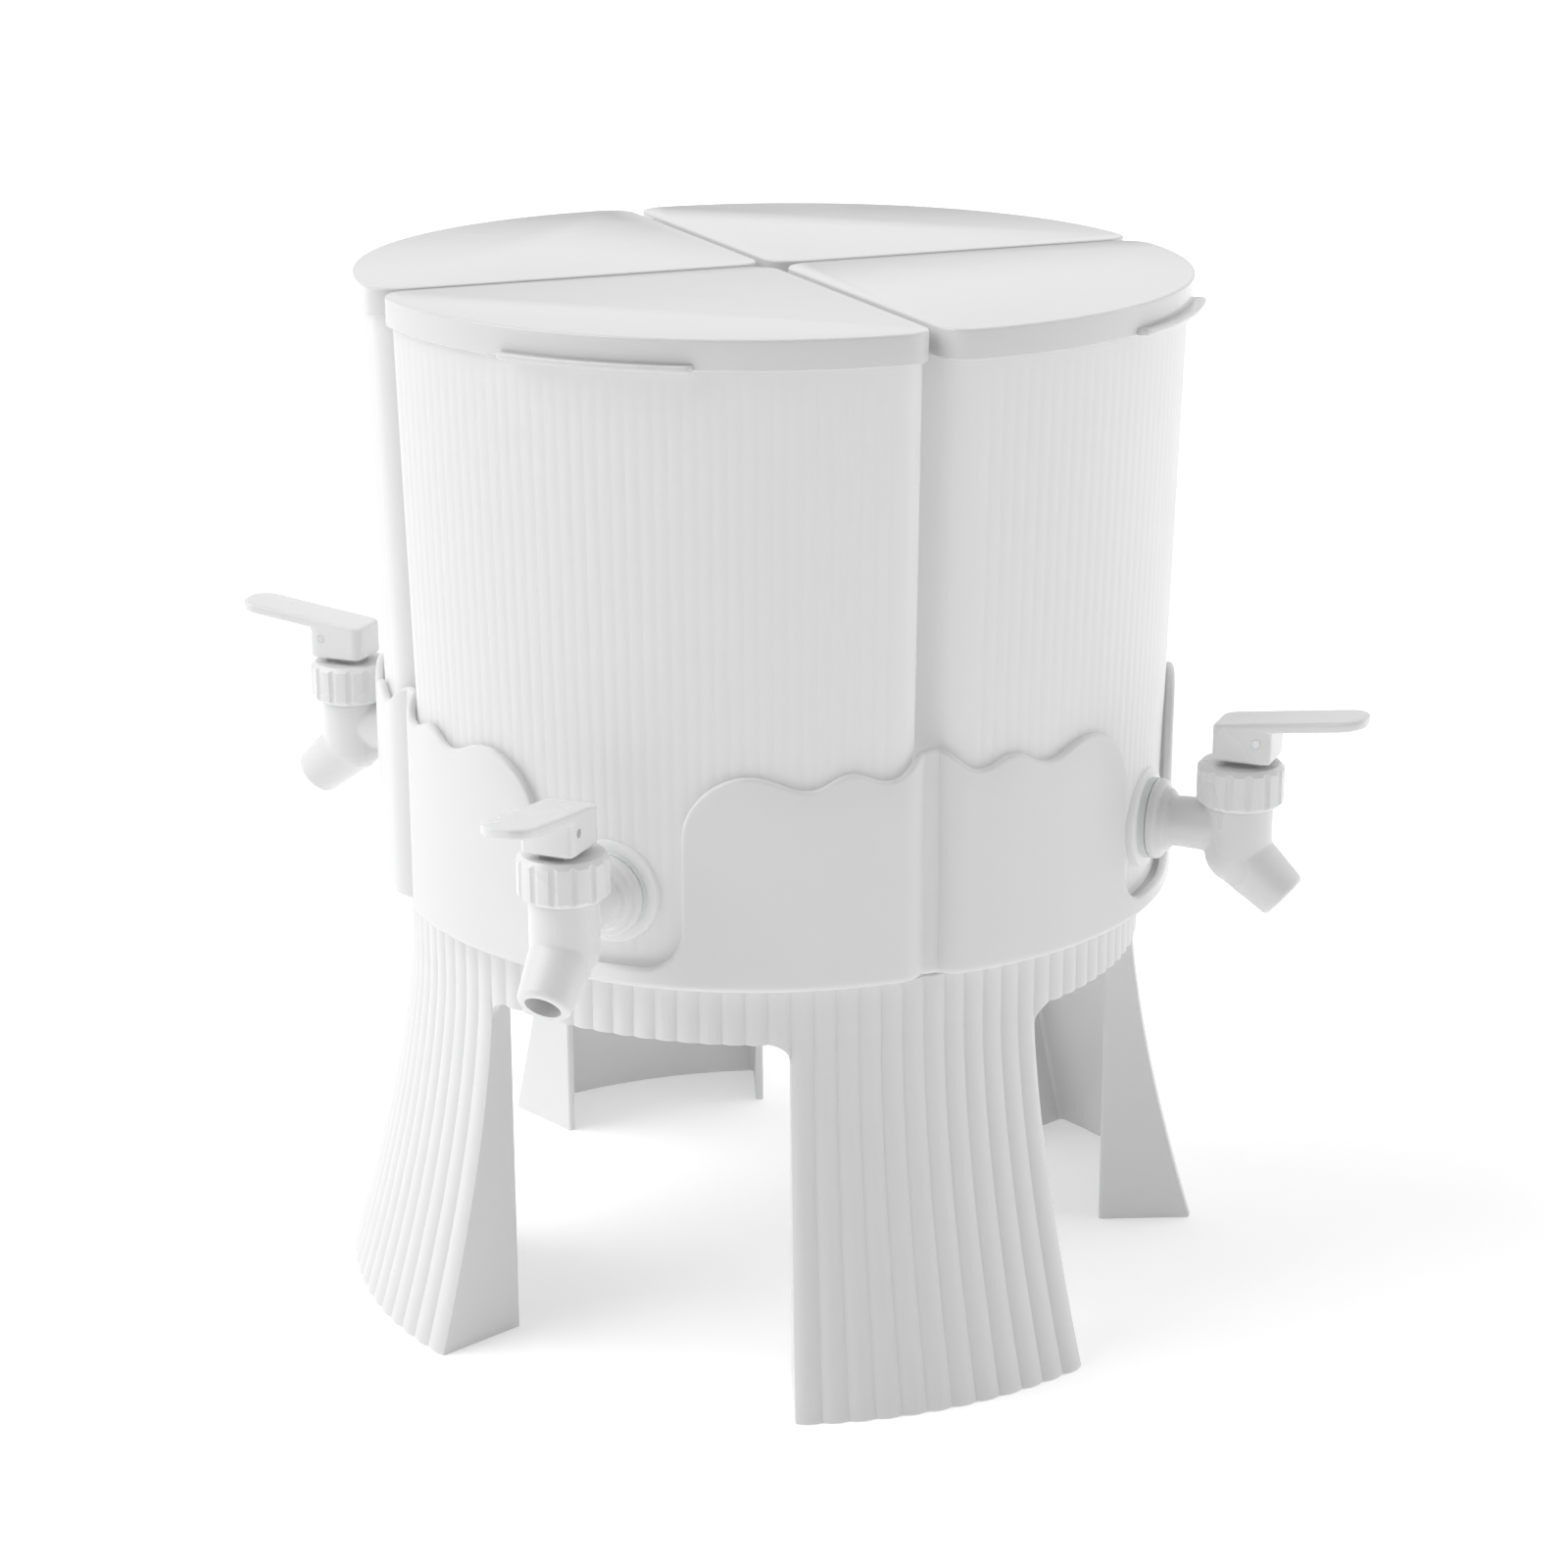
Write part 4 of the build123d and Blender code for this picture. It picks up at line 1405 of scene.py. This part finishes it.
@dataclass(frozen=True)
class Tap:
    """Tap: body with flange, stem, barrel and tilted spout, and the lever that opens it."""

    axis: float = 154.0
    reach: float = 148.2
    barrel_radius: float = 9.85
    barrel_top: float = 162.0
    barrel_edge: float = 0.5
    ball_step: int = 15
    neck_radius: float = 8.6
    neck_top: float = 169.7
    elbow: float = 147.0
    chamber_radius: float = 6.6
    seat_top: float = 149.5
    seat_radius: float = 4.0
    seat_overlap: float = 0.5
    shank_radius: float = 7.5
    shank_bore: float = 4.5
    shank_low: float = 101.8
    flange_low: float = 122.6
    flange_radius: float = 12.0
    flange_thickness: float = 2.9
    flange_back_edge: float = 0.4
    flange_rise: float = 0.2
    step_radius: float = 9.5
    step_thickness: float = 2.5
    step_rise: float = 0.3
    stem_radius: float = 7.5
    stem_end_radius: float = 8.2
    face_edge: float = 0.8
    spout_length: float = 19.2
    spout_tilt: float = 41.0
    spout_root: float = 9.6
    spout_wide: float = 7.7
    spout_mouth: float = 6.9
    spout_bore: float = 5.2
    body_grid: float = 0.42
    body_softness: int = 5
    lever_back: float = 7.4
    lever_front: float = 10.4
    lever_reach: float = 37.0
    lever_half_width: float = 8.0
    lever_low: float = 176.3
    lever_top: float = 187.0
    lever_wall: float = 1.1
    lever_gap: float = 4.2
    lever_corner: float = 3.0
    lever_corner_steps: int = 8
    lever_tip: float = 6.5
    lever_thickness: float = 3.0
    lever_tilt: float = 7.0
    lever_grid: float = 0.34
    lever_softness: int = 4
    # Rows of the handle's upper and lower edges: how far they are down, and how far set in
    upper_edge: tuple[tuple[float, float], ...] = ((0.0, 0.9), (0.25, 0.3), (0.8, 0.0))
    lower_edge: tuple[tuple[float, float], ...] = ((-0.6, 0.0), (-0.1, 0.2), (0.0, 0.7))
    hub_half_length: float = 9.0
    hub_edge: float = 0.5
    hub_depth: float = 0.8
    pivot_offset: float = 6.2
    pivot_height: float = 182.6
    pin_radius: float = 1.3
    pin_overrun: float = 1.0
    link_radius: float = 1.0
    overrun: float = 4.0
    sharp_degrees: float = 42.0

    def body_pattern(self) -> bpy.types.Object:
        """Make the tap body about +X.

        Returns:
            One fused skin with its bores.
        """
        level = about_x(self.axis)
        upright = about_z(self.reach)
        tilted = about_tilt((self.reach, 0.0, self.elbow), self.spout_tilt)
        flange, step, edge = self.flange_radius, self.step_radius, self.face_edge
        back, flange_high = self.flange_back_edge, self.flange_low + self.flange_thickness
        step_high = flange_high + self.step_thickness
        shell = Shell()
        shell.lathe([(self.shank_radius, self.shank_low), (self.shank_radius, self.flange_low),
                     (flange - back, self.flange_low), (flange, self.flange_low + back),
                     (flange, flange_high - edge), (flange - edge, flange_high),
                     (step, flange_high + self.flange_rise), (step, step_high - edge),
                     (step - edge, step_high), (self.stem_radius, step_high + self.step_rise),
                     (self.stem_end_radius, self.reach)], level)
        barrel, top = self.barrel_radius, self.barrel_top
        shell.lathe([(barrel, self.elbow), (barrel, top - self.barrel_edge),
                     (barrel - self.barrel_edge, top), (self.neck_radius, top),
                     (self.neck_radius, self.neck_top)], upright)
        turns = [math.radians(turn) for turn in range(self.ball_step, 180, self.ball_step)]
        shell.lathe([(barrel * math.sin(turn), self.elbow - barrel * math.cos(turn))
                     for turn in turns], upright)
        shell.lathe([(self.spout_root, 0.0), (self.spout_wide, self.spout_length - edge),
                     (self.spout_mouth, self.spout_length)], tilted)
        piece = shell.piece("tap_pattern")
        fuse(piece, self.body_grid, self.body_softness)
        for cut in ((self.spout_bore, 0.0, self.spout_length + self.overrun, tilted),
                    (self.seat_radius, self.elbow, self.seat_top + self.seat_overlap, upright),
                    (self.chamber_radius, self.seat_top, self.neck_top + self.overrun, upright),
                    (self.shank_bore, self.shank_low - self.overrun, self.reach, level)):
            carve(piece, bar(*cut), "DIFFERENCE")
        shade(piece, self.sharp_degrees)
        return piece

    def handle_plan(self, back: float, tip: float) -> list[tuple[float, float]]:
        """Outline of the handle seen from above, with its rounded corners.

        Args:
            back: Where it starts, next to the container.
            tip: Where it ends.

        Returns:
            The closed outline.
        """
        half, corner, end = self.lever_half_width, self.lever_corner, self.lever_tip
        corners = [(back + corner, half - corner, corner, 90),
                   (back + corner, corner - half, corner, 180),
                   (tip - end, end - half, end, 270), (tip - end, half - end, end, 0)]
        return [(point.x, point.y) for x, y, radius, start in corners for point in arc(
            (x, y), radius, start, start + QUARTER, self.lever_corner_steps)]

    def lever_skin(self, back: float, front: float, tip: float) -> Shell:
        """Make the skins of handle and hub, which overlap.

        Args:
            back: Where both start, next to the container.
            front: Where the hub ends.
            tip: Where the handle ends.

        Returns:
            The two skins.
        """
        slope = math.tan(math.radians(self.lever_tilt))
        half = self.lever_half_width
        shell = Shell()
        outline = self.handle_plan(back, tip)
        middle = (back + tip) / 2
        under = tuple((self.lever_thickness + drop, inset) for drop, inset in self.lower_edge)
        rings = []
        for drop, inset in self.upper_edge + under:
            shrink = 1 - inset / half
            along = 1 - 2 * inset / (tip - back)
            rings.append(shell.ring([
                (middle + (x - middle) * along, y * shrink,
                 self.lever_top + (x - back) * slope - drop) for x, y in outline]))
        shell.closed(rings)
        hub = [(min(x, front), y) for x, y in self.handle_plan(
            back, front + self.lever_tip - self.lever_corner)]
        middle = 0.5 * (back + front)
        rings = []
        for height, inset in ((self.lever_low, self.hub_edge),
                              (self.lever_low + self.hub_edge, 0.0),
                              (self.lever_top - self.hub_depth, 0.0)):
            rings.append(shell.ring([
                (x + (middle - x) * inset / self.hub_half_length, y * (1 - inset / half), height)
                for x, y in hub]))
        shell.closed(rings)
        return shell

    def lever_pattern(self) -> bpy.types.Object:
        """Make the lever about +X.

        Returns:
            Hub and tilted handle in one skin, hollow over the post, with the bar that lifts the
            plunger.
        """
        back = self.reach - self.lever_back
        front = self.reach + self.lever_front
        piece = self.lever_skin(back, front, self.reach + self.lever_reach).piece("lever_pattern")
        fuse(piece, self.lever_grid, self.lever_softness)
        gap, wall, half = self.lever_gap, self.lever_wall, self.lever_half_width
        box = [(back + wall, -gap), (front - wall, -gap), (front - wall, gap), (back + wall, gap)]
        hollow = Shell()
        hollow.closed([hollow.ring([(x, y, height) for x, y in box])
                       for height in (self.lever_low - self.overrun, self.lever_top - wall)])
        carve(piece, hollow.piece("hollow"), "DIFFERENCE")
        link_bar = bar(self.link_radius, -gap - wall, gap + wall,
                       about_y(self.reach, self.pivot_height))
        carve(piece, link_bar, "UNION")
        pin = bar(self.pin_radius, -half - self.pin_overrun, half + self.pin_overrun,
                  about_y(self.reach + self.pivot_offset, self.pivot_height))
        carve(piece, pin, "DIFFERENCE")
        shade(piece, self.sharp_degrees)
        return piece

    def build(self) -> list[bpy.types.Object]:
        """Make the four taps.

        Returns:
            A body and a lever for each side.
        """
        return (on_sides(self.body_pattern(), "tap_moulding", Finish.TAP, "container", "tap_body")
                + on_sides(self.lever_pattern(), "lever_handle", Finish.TAP, "lever", "tap_lever"))


@dataclass(frozen=True)
class Spring:
    """Steel coil over each tap's plunger, wound to the length of its node in the frame."""

    reach: float = 148.2
    radius: float = 4.4
    wire_radius: float = 0.4
    turns: float = 6.0
    travel: float = 1.95

    def build(self) -> list[bpy.types.Object]:
        """Wind the four springs.

        Returns:
            The springs.
        """
        pieces = []
        wire = self.wire_radius * MM
        for side in Side:
            low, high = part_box(side.named("tap_spring"))
            turn = math.radians(side.value)
            middle = Vector((math.cos(turn), math.sin(turn), 0)) * self.reach * MM
            length = high[2] - low[2]
            piece = Shell().piece(side.named("valve_spring"))
            grow(piece, spring_tree(), {
                "Turns": self.turns, "Coil Radius": self.radius * MM,
                "Coil Height": length - 2 * wire, "Wire Radius": wire,
                "Foot": (middle.x, middle.y, low[2] + wire), "Material": Finish.STEEL.material()})
            shade(piece)
            dress(piece, Finish.STEEL, side.named("container"), side.named("tap_spring"))
            side.named("plunger") + "_rise"
            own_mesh(piece)
            pieces.append(piece)
        return pieces


@dataclass(frozen=True)
class FramePieces:
    """Nodes of the frame that are shown as they are, with their real materials."""

    def build(self) -> list[bpy.types.Object]:
        """Dress every node that nothing replaces.

        Returns:
            The dressed nodes.
        """
        kinds = {"bearing_lower_race": Finish.RACE, "bearing_upper_race": Finish.RACE,
                 "ball_cage": Finish.RACE, "pivot_washer": Finish.STEEL,
                 "pivot_screw": Finish.STEEL, "lid_gasket": Finish.SEAL,
                 "tap_washers": Finish.SEAL, "tap_nut": Finish.TAP, "tap_bonnet": Finish.TAP,
                 "lever_pin": Finish.STEEL, "tap_plunger": Finish.TAP, "tap_seal": Finish.SEAL}
        dressed = []
        for name, node in sorted(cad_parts.items()):
            kind = next((kind for kind in kinds if name.startswith(kind)), None)
            if kind is None or node.hide_render:
                continue
            node.data.materials.clear()
            node.data.materials.append(kinds[kind].material())
            dressed.append(node)
        return dressed


@dataclass(frozen=True)
class Studio:
    """Pale floor, soft light from both sides and the photograph's camera."""

    camera_away: float = 1030.7
    camera_height: float = 478.6
    camera_bearing: float = 22.71
    camera_pitch: float = 17.69
    camera_yaw: float = 0.172
    camera_roll: float = -0.175
    lens: float = 80.09
    sensor: float = 36.0
    floor_size: float = 24000.0
    floor_colour: str = "#FBFBFB"
    floor_roughness: float = 0.9
    floor_glow: float = 0.25
    room_bright: float = 0.95
    room_dark: float = 0.03
    room_rear: float = 0.6
    # How far a direction faces the dark side, from -1 to 1, where the front and the rear fade
    front_fade: tuple[float, float] = (-0.1, 0.8)
    rear_fade: tuple[float, float] = (-0.8, -0.2)
    band_height: float = 0.36
    band_fade: tuple[float, float] = (0.2, 0.34)
    dark_bearing: float = 18.0
    dark_height: float = -0.1
    sky: str = "#FFFFFF"
    # Name, bearing, rise, strength and spread of each light
    suns: tuple[tuple[str, float, float, float, float], ...] = (
        ("key_light", -85, 45, 1.2, 50), ("fill_light", 85, 25, 0.6, 70))

    def camera(self) -> bpy.types.Object:
        """Place the camera where the photograph was taken.

        Returns:
            The camera, which becomes the scene's.
        """
        data = bpy.data.cameras.new("camera")
        data.lens = self.lens
        data.sensor_width = self.sensor
        pitch = math.radians(self.camera_pitch)
        yaw = math.radians(self.camera_yaw)
        roll = math.radians(self.camera_roll)
        ahead = Vector((math.sin(yaw) * math.cos(pitch), math.cos(yaw) * math.cos(pitch),
                        -math.sin(pitch)))
        level = Vector((math.cos(yaw), -math.sin(yaw), 0))
        upward = level.cross(ahead)
        right = level * math.cos(roll) + upward * math.sin(roll)
        above = upward * math.cos(roll) - level * math.sin(roll)
        turn = Matrix((right, above, -ahead)).transposed().to_4x4()
        place = Matrix.Translation(Vector((0, -self.camera_away, self.camera_height)) * MM)
        made = link("camera", data)
        bearing = Matrix.Rotation(math.radians(self.camera_bearing), 4, "Z")
        made.matrix_world = bearing @ place @ turn
        bpy.context.scene.camera = made
        return made

    def floor(self) -> bpy.types.Object:
        """Lay the floor.

        Returns:
            The floor, which isn't part of the object.
        """
        shell = Shell()
        half = self.floor_size / 2
        corners = [(-half, -half, 0), (half, -half, 0), (half, half, 0), (-half, half, 0)]
        shell.faces.append(tuple(shell.ring(corners)))
        made = shell.piece("floor")
        material = bpy.data.materials.new("painted_board")
        tree = bare(material)
        shader = add(tree, "ShaderNodeBsdfPrincipled", {
            "Base Color": linear(self.floor_colour), "Roughness": self.floor_roughness,
            "Specular IOR Level": 0.0, "Emission Color": linear(self.sky),
            "Emission Strength": self.floor_glow})
        add(tree, "ShaderNodeOutputMaterial", {"Surface": shader.outputs["BSDF"]})
        made.data.materials.append(material)
        return made

    def sun(self, name: str, bearing: float, rise: float, strength: float,
            spread: float) -> bpy.types.Object:
        """Add a broad light from far away.

        Args:
            name: Name of the light.
            bearing: Where it comes from, in degrees from the camera's side towards the right.
            rise: Its height above the floor in degrees.
            strength: Its strength.
            spread: How wide it looks, in degrees.

        Returns:
            The light.
        """
        data = bpy.data.lights.new(name, "SUN")
        data.energy = strength
        data.angle = math.radians(spread)
        turn = math.radians(self.camera_bearing + bearing)
        lift = math.radians(rise)
        source = Vector((math.sin(turn) * math.cos(lift), -math.cos(turn) * math.cos(lift),
                         math.sin(lift)))
        made = link(name, data)
        made.rotation_euler = source.to_track_quat("Z", "Y").to_euler()
        return made

    def room(self) -> None:
        """Make the soft light of a white room, which is the scene's world.

        It is dark behind the camera, and dim behind the object but for one band.
        """
        world = bpy.data.worlds.new("studio_room")
        tree = bare(world)
        place = add(tree, "ShaderNodeTexCoord").outputs["Generated"]
        bearing = math.radians(self.camera_bearing + self.dark_bearing)
        dark_side = (math.sin(bearing), -math.cos(bearing), self.dark_height)
        facing = add(tree, "ShaderNodeVectorMath", {0: place, 1: dark_side},
                     operation="DOT_PRODUCT").outputs["Value"]
        front = add(tree, "ShaderNodeMapRange", {
            "Value": facing, "From Min": self.front_fade[0], "From Max": self.front_fade[1],
            "To Min": self.room_bright, "To Max": self.room_dark},
            interpolation_type="SMOOTHSTEP")
        height = add(tree, "ShaderNodeSeparateXYZ", {0: place}).outputs["Z"]
        below = add(tree, "ShaderNodeMath", {0: height, 1: self.band_height},
                    operation="SUBTRACT")
        away = add(tree, "ShaderNodeMath", {0: below.outputs["Value"]}, operation="ABSOLUTE")
        band = add(tree, "ShaderNodeMapRange", {
            "Value": away.outputs["Value"], "From Min": self.band_fade[0],
            "From Max": self.band_fade[1], "To Min": 1.0, "To Max": self.room_rear})
        rear = add(tree, "ShaderNodeMapRange", {
            "Value": facing, "From Min": self.rear_fade[0], "From Max": self.rear_fade[1],
            "To Min": band.outputs["Result"], "To Max": 1.0},
            interpolation_type="SMOOTHSTEP")
        lit = add(tree, "ShaderNodeMath", {0: front.outputs["Result"], 1: rear.outputs["Result"]},
                  operation="MULTIPLY")
        # The camera itself sees the room white, as in the photograph
        seen = add(tree, "ShaderNodeLightPath").outputs["Is Camera Ray"]
        strength = add(tree, "ShaderNodeMath", {0: lit.outputs["Value"], 1: seen},
                       operation="MAXIMUM")
        shader = add(tree, "ShaderNodeBackground", {
            "Color": linear(self.sky), "Strength": strength.outputs["Value"]})
        add(tree, "ShaderNodeOutputWorld", {"Surface": shader.outputs["Background"]})
        bpy.context.scene.world = world

    def build(self) -> list[bpy.types.Object]:
        """Set up the studio.

        Returns:
            Camera, floor and lights.
        """
        bpy.context.scene.view_settings.view_transform = "Standard"
        self.room()
        return [self.camera(), self.floor(), *(self.sun(*sun) for sun in self.suns)]


def main() -> None:
    """Build every sub-assembly in order and report its pieces."""
    logging.basicConfig(level=logging.INFO, format="%(message)s")
    for assembly in (Studio(), Stand(), Bearing(), Tray(), Container(), Lid(), Tap(), Spring(),
                     FramePieces()):
        for piece in assembly.build():
            faces = len(piece.data.polygons) if piece.type == "MESH" else 0
            log.info("%s: %s, %d faces", type(assembly).__name__, piece.name, faces)


if __name__ == "__main__":
    main()
